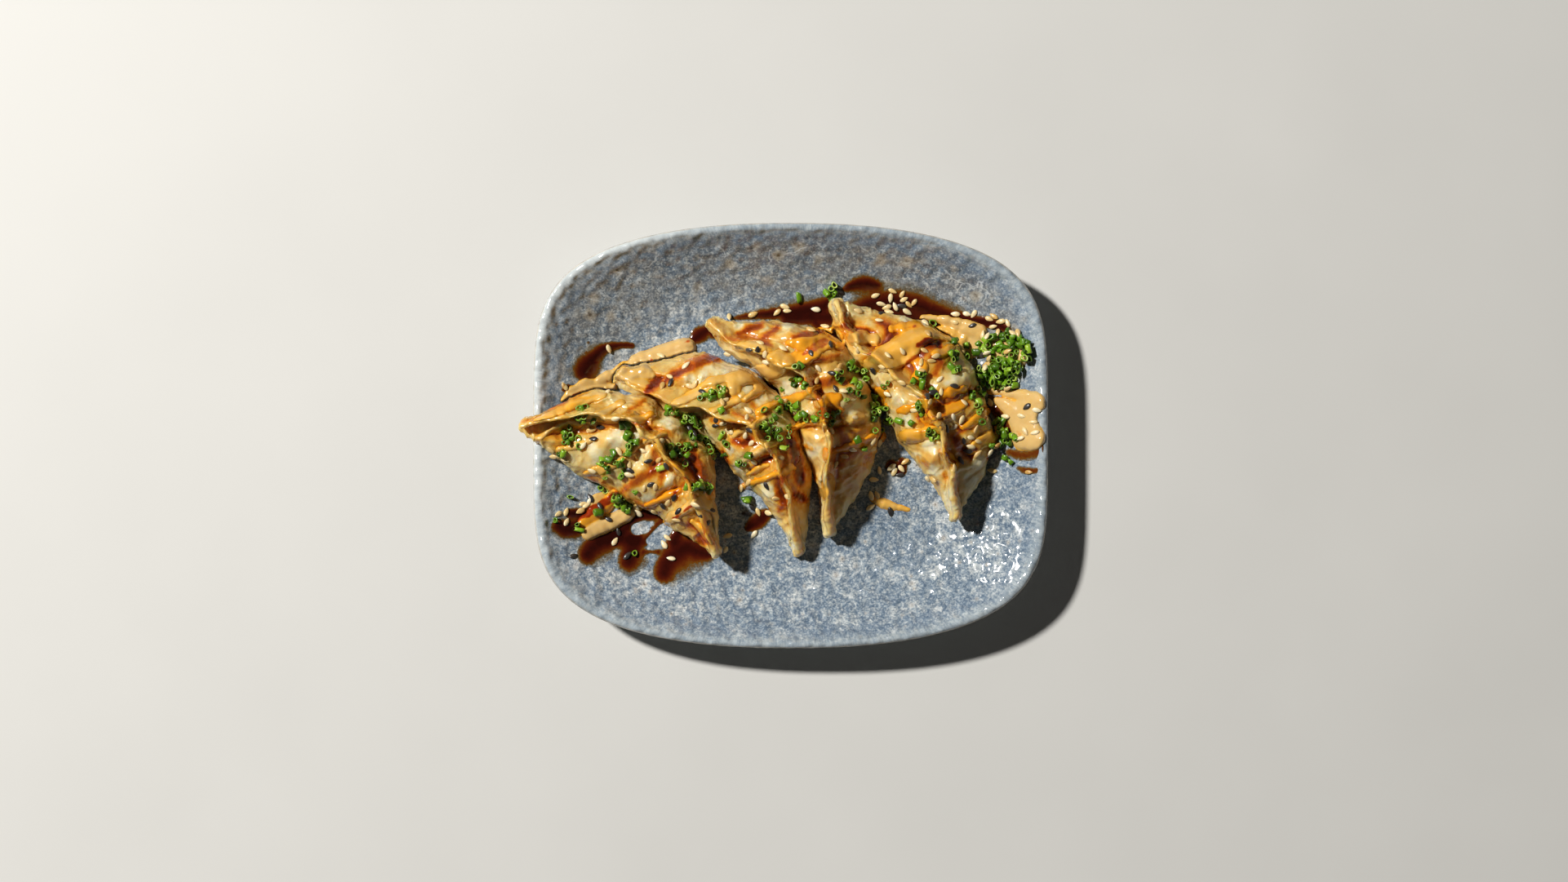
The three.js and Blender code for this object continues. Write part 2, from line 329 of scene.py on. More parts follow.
# ------------------------------------------------------------------- dumplings
G = [
    dict(name="gyoza_1", win="a", a=(-88.0, 3.2), b=(-24.9, -39.0),
         crest=[0, 9.8, 16.8, 20.6, 20.2, 17.8, 13.6, 6.8, 0],
         outer=[2.2, 19.6, 26.5, 31.0, 32.2, 31.2, 27.0, 14.5, 1.8],
         inner=[-2.6, -3.0, -4.8, -4.8, -4.0, -2.8, -2.0, -1.8, -1.6],
         top=[26.5, 29.5, 32.0, 34.0, 34.5, 33.5, 31.0, 26.0, 20.0],
         base=[21.4, 18.6, 12.6, 7.4, 5.4, 5.4, 5.4, 8.0, 12.5],
         lean=[1.5, 2.5, 3.0, 2.0, 1.0, 1.0, 1.5, 1.0, 0.3], phase=0.3, seed=11),
    dict(name="gyoza_2", win="b", a=(-57.4, 19.5), b=(2.6, -38.8),
         crest=[0, 3.0, 7.6, 13.4, 18.0, 17.6, 14.0, 7.6, 0],
         outer=[2.2, 21.5, 30.2, 33.2, 34.0, 32.6, 27.2, 16.6, 1.8],
         inner=[-2.4, -0.8, 1.6, 4.0, 4.0, 3.4, 3.6, 1.8, -1.6],
         top=[20.5, 25.0, 29.0, 32.0, 33.5, 32.5, 28.5, 20.5, 11.5],
         base=[13.5, 9.0, 5.4, 5.4, 5.4, 5.4, 5.4, 5.4, 5.4],
         lean=[3.0, 6.0, 7.0, 6.0, 3.5, 1.5, 0.5, 0.3, 0], phase=1.7, seed=23),
    dict(name="gyoza_3", win="c", a=(-26.7, 37.0), b=(13.2, -32.2),
         crest=[0, 3.4, 11.0, 16.8, 18.2, 15.6, 10.2, 4.6, 0],
         outer=[2.2, 19.4, 32.4, 35.6, 36.8, 35.4, 31.8, 21.6, 1.8],
         inner=[-2.4, -0.8, 4.6, 7.8, 7.2, 5.2, 4.4, 2.4, -1.6],
         top=[22.5, 27.0, 31.0, 34.0, 35.0, 33.5, 29.5, 22.0, 14.5],
         base=[15.5, 9.5, 5.4, 5.4, 5.4, 5.4, 5.4, 5.4, 7.5],
         lean=[2.0, 6.0, 6.5, 3.5, 1.0, 0.5, 0.3, 0, 0], phase=0.9, seed=37),
    dict(name="gyoza_4", win="d", a=(15.3, 43.9), b=(54.6, -26.9),
         crest=[0, -1.6, 0.4, 4.4, 8.0, 8.6, 6.8, 4.0, 0],
         outer=[2.0, 13.6, 25.0, 29.8, 30.0, 29.0, 27.2, 20.4, 1.8],
         inner=[-2.4, -4.6, -4.8, -4.2, -4.2, -3.8, -2.6, -1.2, -1.6],
         top=[19.5, 25.0, 29.5, 32.5, 34.0, 33.5, 31.0, 26.0, 20.0],
         base=[13.0, 8.0, 5.4, 5.4, 5.4, 5.4, 5.4, 8.0, 12.5],
         lean=[0.5, 1.5, 3.0, 3.5, 2.5, 1.5, 0.5, 0.3, 0], phase=2.4, seed=53),
]
FIN = 8.0

# Folds pressed into the skins: window, width, height (mm, + out), points.
FOLDS = {
    "gyoza_1": [
        ("a", 34, -2.2, [(170, 425), (260, 425), (360, 408), (470, 405), (580, 398), (700, 388), (820, 382)]),
        ("a", 30, 1.1, [(60, 435), (150, 455), (250, 470), (340, 480)]),
        ("a", 60, 1.6, [(560, 500), (690, 450), (800, 440)]),
        ("a", 16, -1.0, [(850, 395), (930, 385), (1010, 395), (1080, 430)]),
        ("a", 12, 0.8, [(830, 372), (920, 365), (1010, 372)]),
        ("a", 22, -1.1, [(770, 560), (840, 610), (930, 640), (960, 560)]),
        ("a", 45, 1.2, [(1000, 740), (1090, 750)]),
        ("a", 20, -1.0, [(930, 860), (1010, 820), (1110, 780)]),
        ("a", 26, 1.0, [(500, 250), (560, 260)]),
        ("a", 40, 1.2, [(990, 300), (1080, 330), (1150, 400)]),
        ("a", 14, -0.8, [(560, 230), (700, 180), (860, 190)]),
        ("a", 22, -1.2, [(1110, 560), (1200, 640), (1260, 740)]),
        ("a", 22, -1.0, [(620, 600), (700, 560), (760, 520)]),
    ],
    "gyoza_2": [
        ("b", 26, 1.3, [(260, 190), (400, 230), (520, 250)]),
        ("b", 16, -1.0, [(300, 300), (420, 290), (560, 300)]),
        ("b", 40, 1.4, [(640, 200), (740, 150), (830, 160)]),
        ("b", 16, -0.9, [(560, 250), (640, 240), (740, 240)]),
        ("b", 30, 1.0, [(830, 330), (960, 320), (1060, 260)]),
        ("b", 18, -1.2, [(760, 420), (860, 470), (950, 520)]),
        ("b", 14, 0.9, [(740, 440), (850, 490), (900, 540)]),
        ("b", 22, -1.2, [(700, 540), (800, 600), (900, 640)]),
        ("b", 40, 1.1, [(760, 700), (850, 780)]),
        ("b", 18, -1.2, [(850, 760), (950, 740), (1040, 700)]),
        ("b", 14, 1.0, [(1050, 820), (1090, 900), (1140, 1000), (1170, 1120)]),
        ("b", 20, -1.1, [(1000, 860), (1070, 960), (1120, 1060)]),
        ("b", 30, -1.2, [(1130, 760), (1180, 900), (1200, 1020)]),
    ],
    "gyoza_3": [
        ("c", 16, 1.1, [(200, 180), (280, 215), (400, 250), (520, 290)]),
        ("c", 16, -1.1, [(180, 170), (260, 185), (380, 205), (470, 225)]),
        ("c", 14, 0.9, [(200, 95), (330, 95), (470, 105), (560, 140)]),
        ("c", 40, -1.3, [(700, 230), (800, 250)]),
        ("c", 20, 1.2, [(620, 340), (720, 320), (830, 310), (900, 290)]),
        ("c", 16, -1.0, [(540, 400), (660, 420), (800, 400)]),
        ("c", 26, 1.4, [(740, 560), (840, 590), (960, 600), (1040, 570)]),
        ("c", 13, 1.4, [(600, 745), (700, 715), (780, 730), (860, 700), (960, 705), (1050, 665)]),
        ("c", 18, -2.0, [(590, 775), (680, 745), (780, 765), (880, 735), (970, 735), (1070, 690)]),
        ("c", 60, 1.3, [(700, 840), (740, 930), (760, 990)]),
        ("c", 15, -1.3, [(600, 790), (620, 900), (670, 1000), (740, 1080)]),
        ("c", 18, 1.2, [(790, 820), (800, 950), (800, 1080)]),
        ("c", 18, -1.3, [(850, 820), (860, 950), (850, 1080)]),
        ("c", 24, -0.9, [(900, 900), (980, 860), (1080, 820)]),
        ("c", 40, 0.9, [(920, 1040), (1000, 980)]),
    ],
    "gyoza_4": [
        ("d", 22, -1.3, [(140, 190), (200, 240), (330, 250), (400, 330)]),
        ("d", 18, 1.2, [(180, 215), (300, 225), (360, 270), (380, 330)]),
        ("d", 20, -1.2, [(420, 230), (470, 260), (440, 330)]),
        ("d", 30, 1.2, [(430, 210), (540, 180), (610, 200)]),
        ("d", 40, 1.0, [(330, 430), (460, 370), (600, 300), (760, 270)]),
        ("d", 22, -1.4, [(620, 350), (720, 330), (740, 380)]),
        ("d", 18, 1.1, [(400, 510), (500, 560), (600, 620), (700, 700)]),
        ("d", 18, -1.1, [(380, 540), (480, 600), (590, 660)]),
        ("d", 40, 1.1, [(430, 660), (540, 700)]),
        ("d", 24, -1.2, [(640, 760), (760, 720), (880, 690)]),
        ("d", 24, 1.0, [(700, 800), (800, 760), (900, 740)]),
        ("d", 16, 1.2, [(560, 960), (690, 925), (740, 960), (760, 1060)]),
        ("d", 22, -1.4, [(790, 960), (810, 1040), (800, 1120)]),
        ("d", 34, -1.6, [(840, 920), (900, 1000), (960, 1040)]),
        ("d", 16, 1.0, [(960, 860), (1040, 780), (1060, 700)]),
        ("d", 14, -0.8, [(880, 1180), (960, 1120), (1040, 1060)]),
    ],
}

# Soaked-in sauce on the skins, and painted shade on some shaded sides: window, strength, points with radius.
STAINS_AND_SHADE = {
    "gyoza_1": [
        ("a", 0.18, [(200, 440, 30), (330, 425, 34), (470, 400, 26), (620, 370, 22), (760, 350, 18)]),
        ("a", 0.35, [(820, 345, 22), (950, 385, 26), (1060, 420, 22)]),
        ("a", 0.62, [(710, 822, 20), (770, 775, 28), (850, 725, 30), (930, 680, 24)]),
        ("a", 0.95, [(905, 690, 16), (950, 665, 22), (985, 640, 16)]),
        ("a", 0.7, [(940, 540, 18), (955, 600, 24), (930, 660, 26)]),
        ("a", 0.7, [(990, 760, 14), (1000, 700, 22), (1010, 640, 20)]),
        ("a", 0.8, [(1040, 850, 16), (1110, 790, 18), (1140, 760, 14)]),
        ("a", 0.75, [(1180, 1040, 22), (1250, 1060, 26), (1240, 1150, 26), (1290, 1150, 24)]),
        ("a", 0.75, [(1190, 740, 12), (1260, 735, 12)]),
        ("a", 0.8, [(290, 520, 10), (340, 495, 12)]),
        ("a", 0.6, [(240, 240, 14), (330, 180, 16), (430, 130, 14)]),
        ("a", 0.35, [(60, 335, 14), (130, 325, 18), (180, 315, 12)]),
        ("a", 0.7, [(780, 260, 14), (850, 215, 14), (880, 180, 8)]),
        # painted shade: gyoza 1's right side, which faces away from the lamp, partly sauce and partly painted shade
        ("a", 0.75, [(1150, 520, 40), (1200, 600, 55), (1240, 700, 60), (1300, 800, 40)]),
        ("a", 0.5, [(470, 690, 14), (520, 740, 14), (600, 770, 12), (760, 860, 14), (900, 930, 16)]),
        ("a", 0.6, [(600, 365, 10), (650, 350, 10)]),
        ("a", 0.5, [(1060, 610, 22), (1150, 700, 24)]),
    ],
    "gyoza_2": [
        ("p", 0.55, [(823, 458, 4.0), (853, 443, 6.5), (877, 434, 6.0), (894, 432, 4.0)]),
        ("b", 1.0, [(225, 345, 18), (260, 290, 30), (300, 255, 28), (335, 240, 10)]),
        ("b", 0.8, [(345, 260, 14), (400, 225, 26), (500, 175, 30), (610, 125, 30), (740, 90, 24)]),
        ("b", 0.9, [(740, 95, 12), (800, 110, 14), (880, 140, 18), (950, 165, 14)]),
        ("b", 0.5, [(520, 330, 18), (560, 330, 14)]),
        ("b", 0.9, [(700, 700, 20), (730, 770, 16)]),
        ("b", 1.0, [(775, 625, 20), (840, 640, 26), (880, 610, 16)]),
        ("b", 1.1, [(910, 765, 16), (970, 740, 22), (1010, 720, 14)]),
        ("b", 0.8, [(1060, 860, 22), (1040, 930, 26), (1070, 1010, 26), (1050, 1060, 14)]),
        # painted shadow: the next two marks lie on gyoza 2's right belly where gyoza 3 shades it, partly sauce and
        # partly painted shadow
        ("b", 1.15, [(1160, 960, 24), (1200, 990, 24)]),
        ("b", 1.12, [(1120, 620, 26), (1150, 700, 34), (1170, 800, 36), (1180, 880, 28)]),
        ("b", 0.45, [(640, 500, 26), (700, 520, 26), (800, 520, 20)]),
        ("b", 0.6, [(900, 1010, 16), (980, 1060, 16)]),
        ("b", 0.45, [(760, 450, 16), (880, 500, 18)]),
        ("b", 0.5, [(880, 400, 16), (950, 470, 20)]),
    ],
    "gyoza_3": [
        ("c", 0.75, [(250, 165, 18), (310, 140, 24), (380, 115, 26)]),
        ("c", 0.75, [(400, 190, 20), (450, 160, 24), (490, 125, 18)]),
        ("c", 0.4, [(150, 190, 20), (230, 200, 24), (330, 190, 22), (430, 230, 24)]),
        ("c", 0.7, [(590, 190, 18), (680, 170, 24), (760, 160, 18)]),
        ("c", 0.6, [(620, 460, 30), (740, 470, 34), (840, 460, 30), (960, 470, 24)]),
        ("c", 0.7, [(640, 340, 12), (760, 330, 14), (860, 300, 12)]),
        ("c", 0.6, [(740, 520, 26), (740, 600, 26), (760, 680, 22)]),
        ("c", 0.75, [(590, 770, 10), (610, 860, 13), (650, 980, 14), (720, 1060, 14)]),
        ("c", 0.55, [(660, 860, 12), (690, 880, 14)]),
        ("c", 0.5, [(870, 760, 26), (900, 820, 34), (920, 900, 30)]),
        ("c", 0.35, [(830, 880, 20), (840, 960, 24), (850, 1040, 18)]),
        ("c", 0.45, [(880, 980, 20), (950, 920, 18), (1000, 890, 14)]),
        ("c", 0.7, [(1030, 930, 16), (1060, 910, 16)]),
        ("c", 0.28, [(960, 780, 40), (1040, 760, 40)]),
        ("c", 0.18, [(900, 1060, 30), (1000, 1000, 34), (1060, 940, 26)]),
        ("c", 0.5, [(620, 730, 12), (720, 700, 14)]),
    ],
    "gyoza_4": [
        ("d", 1.0, [(150, 210, 20), (200, 235, 26), (270, 250, 22), (330, 265, 12)]),
        ("d", 0.9, [(370, 190, 20), (420, 230, 30), (430, 300, 26), (380, 340, 18)]),
        ("d", 0.75, [(300, 320, 26), (350, 370, 30), (300, 420, 22)]),
        ("d", 0.9, [(560, 330, 20), (640, 330, 34), (700, 320, 40), (730, 350, 20)]),
        ("d", 0.8, [(530, 450, 20), (590, 410, 26), (640, 380, 22)]),
        ("d", 0.7, [(560, 470, 30), (600, 540, 30), (620, 600, 26)]),
        ("d", 0.7, [(690, 420, 24), (740, 440, 26), (700, 520, 24)]),
        ("d", 0.65, [(640, 640, 30), (740, 650, 34), (840, 640, 34), (940, 620, 26)]),
        ("d", 0.7, [(620, 780, 26), (720, 740, 36), (820, 720, 34), (900, 700, 26)]),
        ("d", 0.8, [(820, 900, 20), (850, 960, 28), (890, 1010, 28), (950, 1000, 20)]),
        ("d", 0.9, [(860, 860, 18), (930, 820, 22), (1020, 760, 18)]),
        ("d", 1.0, [(1050, 1030, 18), (1090, 980, 14)]),
        ("d", 0.6, [(780, 1000, 22), (810, 1050, 22)]),
        ("d", 0.6, [(760, 1130, 10), (770, 1150, 10)]),
        ("d", 0.3, [(600, 1030, 16), (660, 1080, 16)]),
        ("d", 0.5, [(340, 600, 14), (360, 700, 14)]),
    ],
}

# Bare places that the sauce has left pale: picture x, y and radius.
PALE = {
    "gyoza_1": [(731, 556, 13), (754, 538, 16), (772, 531, 12), (741, 572, 9), (814, 521, 13), (792, 612, 9), (783, 565, 8),
                (819, 586, 10), (748, 494, 8), (800, 640, 7)],
    "gyoza_2": [(906, 449, 17), (885, 455, 10), (845, 464, 9), (919, 476, 9), (800, 500, 6), (905, 571, 8), (922, 614, 10),
                (893, 552, 8), (868, 449, 7), (930, 458, 12), (944, 470, 12), (926, 492, 11), (903, 496, 9), (960, 482, 9),
                (890, 520, 8), (862, 458, 9), (876, 453, 11), (890, 448, 12), (905, 446, 13), (918, 450, 10), (935, 590, 8), (942, 603, 9), (968, 655, 9), (975, 672, 7)],
    "gyoza_3": [(996, 552, 12), (968, 476, 11), (1018, 484, 6), (1051, 497, 8), (905, 400, 8), (936, 402, 8), (1040, 505, 6), (985, 392, 10), (965, 398, 8), (1032, 645, 6), (1010, 588, 9)],
    "gyoza_4": [(1171, 463, 10), (1160, 470, 6), (1079, 477, 9), (1102, 489, 11), (1114, 514, 10), (1140, 547, 9),
                (1217, 516, 8), (1205, 570, 12), (1111, 392, 8), (1133, 396, 6), (1125, 560, 8), (1165, 605, 8), (1170, 620, 8), (1190, 590, 9), (1148, 575, 9)],
}

# Browned areas, and painted shade on the shaded right sides: window, strength, points with radius.
TOAST_AND_SHADE = {
    # gyoza 1's first mark: its right side, away from the lamp, partly browned skin and partly painted shade
    "gyoza_1": [("a", 0.5, [(1200, 500, 90), (1280, 700, 80)]), ("a", 0.25, [(1300, 1000, 60), (1350, 1180, 40)]),
                ("a", 0.5, [(200, 430, 50), (450, 400, 40)]), ("a", 0.35, [(950, 380, 60)])],
    "gyoza_2": [("b", 0.5, [(300, 340, 40), (600, 400, 50)]), ("b", 0.12, [(1130, 1100, 40), (1160, 1290, 30)]),
                # gyoza 2's last mark: painted shadow where gyoza 3 shades its right belly
                ("b", 0.4, [(1180, 700, 70)])],
    # gyoza 3's second and third marks: its right side, partly browned skin and partly painted shade
    "gyoza_3": [("c", 0.4, [(640, 860, 46), (690, 900, 46), (700, 960, 40)]), ("c", 0.9, [(900, 760, 60), (1000, 800, 90), (1040, 900, 70)]),
                ("c", 0.8, [(900, 1000, 70), (950, 1080, 60), (880, 1180, 40)]), ("c", 0.45, [(110, 130, 40), (300, 130, 50), (450, 150, 50)]),
                ("c", 0.2, [(790, 1000, 40), (790, 1300, 40)]), ("c", 0.4, [(900, 400, 80)])],
    "gyoza_4": [("d", 0.5, [(620, 1040, 50), (700, 1060, 50)]), ("d", 0.4, [(1000, 1100, 60)]), ("d", 0.15, [(810, 1200, 40), (820, 1380, 40)]),
                ("d", 0.5, [(100, 150, 40), (140, 280, 40)]), ("d", 0.3, [(600, 600, 80)])],
}


def along(values, u):
    v = np.asarray(values, float)
    n = len(v) - 1
    E = np.concatenate([[2 * v[0] - v[1]], v, [2 * v[-1] - v[-2]]])
    k = np.minimum(np.floor(u * n).astype(int), n - 1)
    t = u * n - k
    p, q, r, s = E[k], E[k + 1], E[k + 2], E[k + 3]
    return q + 0.5 * t * (r - p + t * (2 * p - 5 * q + 4 * r - s + t * (3 * (q - r) + s - p)))


def build_dumpling(d):
    NS, NB, NF, NU = 250, 46, 15, 12
    even = np.linspace(0, 1, NS)
    s = 0.6 * even + 0.4 * (0.5 - 0.5 * np.cos(np.pi * even))
    a, b = np.array(d["a"]), np.array(d["b"])
    L = np.linalg.norm(b - a)
    e = (b - a) / L
    n = np.array([-e[1], e[0]])
    seed = d["seed"]
    P1 = np.stack([s * L, np.full(NS, seed * 3.1), np.zeros(NS)], 1)
    belly = np.sin(np.pi * s) ** 0.6
    turn = 2 * np.pi * 6 * s + d["phase"] + 1.6 * gnoise(P1, 17, seed)
    crest = along(d["crest"], s) + 0.9 * belly * np.sin(turn) + 0.35 * gnoise(P1, 3.4, seed + 1)
    outer = along(d["outer"], s) + 0.7 * belly * gnoise(P1, 11, seed + 2)
    inner = along(d["inner"], s) + 0.7 * belly * gnoise(P1, 9, seed + 3)
    top = along(d["top"], s) + 0.45 * belly * np.cos(turn * 1.5) + 0.4 * gnoise(P1, 4.2, seed + 4)
    base = along(d["base"], s)
    t = 0.85 + 0.75 * sstep(0.74, 0.97, s) + 0.5 * sstep(0.12, 0.0, s) + 0.12 * gnoise(P1, 5, seed + 5)
    reach = np.minimum(FIN, 0.5 * (top - base))
    lean = np.minimum(along(d["lean"], s) + 0.5 * belly * gnoise(P1, 8, seed + 6), 0.85 * reach)
    rise = np.sqrt(np.maximum(reach**2 - lean**2, 0.1))
    nq, nz = crest + lean, top - rise
    cx, cz = rise / reach, lean / reach

    def bez(p0, p1, p2, p3, v):
        w = [(1 - v) ** 3, 3 * v * (1 - v) ** 2, 3 * v * v * (1 - v), v**3]
        return [sum(w[k] * p[i] for k, p in enumerate((p0, p1, p2, p3))) for i in (0, 1)]

    cols_q, cols_z, kind, vv = [], [], [], []

    def add(q, z, k, v):
        cols_q.append(q)
        cols_z.append(z)
        kind.append(k)
        vv.append(v)

    sides = {}
    for sign, edge in ((1, outer), (-1, inner)):
        span = np.maximum(sign * (edge - nq), t + 0.4)
        joint = (nq + sign * t * 1.5 * cx, nz + sign * t * 1.5 * cz)
        tall = joint[1] - base
        sides[sign] = (span, joint, tall)
    # underside, from the inner foot to the outer foot
    sp_i, sp_o = sides[-1][0], sides[1][0]
    qi, qo = nq - sp_i * 0.84, nq + sp_o * 0.84
    for k in range(1, NU):
        v = k / NU
        add(qi + (qo - qi) * v, base + 0 * qi, 0, v)
    for sign in (1, -1):
        span, joint, tall = sides[sign]
        p0 = (nq + sign * span * 0.84, base)
        p1 = (nq + sign * span * 1.14, base + 0.34 * tall)
        p2 = (nq + sign * np.maximum(span * 0.72, t * 1.3), base + 1.10 * tall)
        body, fin = [], []
        for k in range(NB):
            v = k / (NB - 1)
            q, z = bez(p0, p1, p2, joint, v)
            depth = 1.25 * belly * v * math.sin(math.pi * min(v * 0.66, 1))
            fold = np.sin(turn * (1 if sign > 0 else 0.6) - 2.2 * v * sign + 1.1 * gnoise(P1 + [0, 20 * v, 40 * sign], 12, seed + 7))
            fold = np.sign(fold) * np.abs(fold) ** 0.8
            body.append((q + sign * depth * fold * np.minimum(span / 8, 1), z, 1 if sign > 0 else 2, v))
        for k in range(1, NF + 1):
            up = 0.98 * k / NF
            w = np.where(True, 1.5 - 0.5 * sstep(0, 0.25, up), 1) * (1 - 0.22 * up)
            ruffle = (0.55 * gnoise(P1 + [0, 3 * up, 5], 5.5, seed + 8) + 0.3 * gnoise(P1 + [0, 3 * up, 5], 2.6, seed + 9)) * up
            q = nq - lean * up + sign * t * w * cx + ruffle
            z = nz + rise * up + sign * t * w * cz
            fin.append((q, z, 3 if sign > 0 else 4, up))
        seq = body + fin
        if sign > 0:
            for c in seq:
                add(*c)
            # rounded rim
            r = t * 0.78
            ruf = 0.55 * gnoise(P1 + [0, 3, 5], 5.5, seed + 8) + 0.3 * gnoise(P1 + [0, 3, 5], 2.6, seed + 9)
            for ang in (35, 65, 90, 115, 145):
                c_, s_ = math.cos(math.radians(ang)), math.sin(math.radians(ang))
                q = nq - lean * 0.98 + r * c_ * cx - r * s_ * cz * 0.9 + ruf
                z = nz + rise * 0.98 + r * c_ * cz + r * s_ * cx * 0.9
                add(q, z, 5, 1.0)
        else:
            for c in reversed(seq):
                add(*c)
    Q, Z = np.stack(cols_q, 1), np.stack(cols_z, 1)
    kind, vv = np.array(kind), np.array(vv)
    NR = Q.shape[1]
    S = np.repeat(s[:, None], NR, 1)
    X = a[0] + e[0] * L * S + n[0] * Q
    Y = a[1] + e[1] * L * S + n[1] * Q
    V = np.stack([X + PCX, Y + PCY, Z], 2)
    # rounded tips
    ext = []
    for ring, out in ((V[0], -1), (V[-1], 1)):
        c = ring.mean(0)
        rr = []
        for f in (0.3, 0.55, 0.75, 0.9, 0.98):
            k = math.sqrt(1 - f * f)
            q = c + (ring - c) * k
            q[:, 0] += e[0] * out * f * 1.6
            q[:, 1] += e[1] * out * f * 1.6
            rr.append(q)
        ext.append(rr)
    rings = [ext[0][k] for k in (4, 3, 2, 1, 0)] + [V[i] for i in range(NS)] + ext[1]
    V = np.array(rings)
    nring = len(rings)
    K = np.tile(kind, nring)
    VV = np.tile(vv, nring)
    SS = np.concatenate([np.zeros(5), s, np.ones(5)]).repeat(NR)
    V = V.reshape(-1, 3)
    F = grid_faces(nring, NR, True)
    caps = []
    for base_i in (0, (nring - 1) * NR):
        caps.append(base_i)
    # face direction: make the underside face down
    N = quad_normals(V, F)
    if N[K == 0][:, 2].mean() > 0:
        F = F[:, ::-1]
        N = -N
    # --- folds, seen from above
    upness = sstep(0.0, 0.55, N[:, 2])
    upness[K == 0] = 0
    hgt = sstep(6.5, 13.0, V[:, 2])
    tz = V[:, 2].copy()
    for win, w, h, pts in FOLDS[d["name"]]:
        P = path_mm(win, pts, 26.0)
        dist, _, _, par = seg_field(V[:, 0], V[:, 1], P)
        wmm = w / WIN[win][2] * MM_PX
        tap = np.clip(np.minimum(par, 1 - par) * 5, 0.25, 1)
        amp = h * np.exp(-((dist / wmm) ** 2)) * tap * hgt
        V[:, 2] += amp * upness
    # --- lumps of filling, crumpled skin, blisters
    N = quad_normals(V, F)
    bodyw = np.where((K == 1) | (K == 2), 1.0, np.where(K == 0, 0.15, 0.35))
    lump = 0.85 * gnoise(V, 11.0, seed + 20) + 0.45 * gnoise(V, 5.5, seed + 21)
    rid = 1 - np.abs(gnoise(V + 2.2 * np.stack([gnoise(V, 6, seed + 31), gnoise(V, 6, seed + 32), gnoise(V, 6, seed + 33)], 1), 7.5, seed + 22)) * 2.2
    rid = np.clip(rid, 0, 1) ** 3
    warp3 = np.stack([gnoise(V, 4, seed + 34), gnoise(V, 4, seed + 35), gnoise(V, 4, seed + 36)], 1)
    wrinkle = np.clip(1 - np.abs(gnoise(V + 1.5 * warp3, 3.8, seed + 37)) * 2.6, 0, 1) ** 2 * sstep(-0.25, 0.35, gnoise(V, 10, seed + 38))
    fine = 0.17 * gnoise(V, 2.2, seed + 23) + 0.10 * gnoise(V, 1.1, seed + 24) + 0.30 * wrinkle
    cell = gnoise(V, 2.6, seed + 25)
    blist = np.clip(cell - 0.25, 0, 1) * sstep(-0.1, 0.5, gnoise(V, 13, seed + 26)) * 0.9
    disp = bodyw * (lump + 0.55 * rid - 0.2) + fine + bodyw * blist
    V += N * disp[:, None]
    # --- rest on the dish
    floor = dish_height(share_of(V[:, 0], V[:, 1]))
    sh = share_of(V[:, 0], V[:, 1])
    V[:, 2] = np.where(sh < 1.03, np.maximum(V[:, 2], floor + 0.15), V[:, 2])
    N = quad_normals(V, F)
    # --- cavity: how far a point lies below its neighbours
    Vg = V.reshape(nring, NR, 3)
    M = Vg.copy()
    for _ in range(6):
        M = (np.roll(M, 1, 1) + np.roll(M, -1, 1) + np.vstack([M[:1], M[:-1]]) + np.vstack([M[1:], M[-1:]]) + M) / 5
    cav = ((M - Vg).reshape(-1, 3) * N).sum(1)
    cav = np.clip(cav / 0.6, -1, 1)
    # --- colour fields
    stain_and_shade, halo = np.zeros(len(V)), np.zeros(len(V))
    wob = 0.55 * gnoise(V, 2.4, seed + 40) + 0.35 * gnoise(V, 1.0, seed + 41)
    for win, st, pts in STAINS_AND_SHADE[d["name"]]:
        P = path_mm(win, pts, 26.0)
        dist, rad, _, _ = seg_field(V[:, 0], V[:, 1], P)
        side = sstep(-0.45, 0.15, N[:, 2])
        f = sstep(0.9, -1.1, (dist - rad) + wob * 0.8)
        stain_and_shade = np.maximum(stain_and_shade, (0.20 + 0.60 * st) * f * side)
        halo = np.maximum(halo, st * sstep(4.2, -0.2, (dist - rad) + wob * 1.6) * side)
    toast_and_shade = np.clip(0.24 + 0.42 * gnoise(V, 9, seed + 50) + 0.25 * gnoise(V, 3.5, seed + 51), 0, 1) * 0.8
    toast_and_shade += 0.16 * sstep(0.5, 1.0, VV) * ((K == 3) | (K == 4)) + 0.16 * (K == 5)
    toast_and_shade += 0.05 * sstep(12, 7, V[:, 2]) - 0.10 * sstep(0.80, 0.97, SS)
    for win, st, pts in TOAST_AND_SHADE[d["name"]]:
        P = path_mm(win, pts, 24.0)
        dist, rad, _, _ = seg_field(V[:, 0], V[:, 1], P)
        toast_and_shade = toast_and_shade + st * sstep(1.0, -0.6, (dist - rad) / rad + 0.5 * gnoise(V, 4, seed + 60)) * 0.5
    toast_and_shade = np.clip(toast_and_shade, 0, 1.3)
    pale = np.zeros(len(V))
    for px, py, r in PALE[d["name"]]:
        P = path_mm("p", [(px, py, r)], 26.0)
        q = np.hypot(V[:, 0] - P[0, 0], V[:, 1] - P[0, 1]) / (r * MM_PX)
        pale = np.maximum(pale, sstep(1.25, 0.35, q + 0.45 * gnoise(V, 3.4, seed + 70) + 0.2 * gnoise(V, 1.5, seed + 71)))
    ob = make_object("dumpling_" + d["name"][-1], V, F, None, True,
                     {"stain_and_shade": stain_and_shade, "halo": halo, "pale": pale, "toast_and_shade": toast_and_shade, "cav": cav, "fin": ((K >= 3) * sstep(0.2, 0.9, VV)).astype(float)})
    import bmesh
    bm = bmesh.new()
    bm.from_mesh(ob.data)
    bm.verts.ensure_lookup_table()
    for c in caps:
        vs = [bm.verts[c + j] for j in range(NR)]
        if c == 0:
            vs = vs[::-1]
        try:
            f = bm.faces.new(vs)
            f.smooth = True
        except ValueError:
            pass
    bmesh.ops.recalc_face_normals(bm, faces=bm.faces)
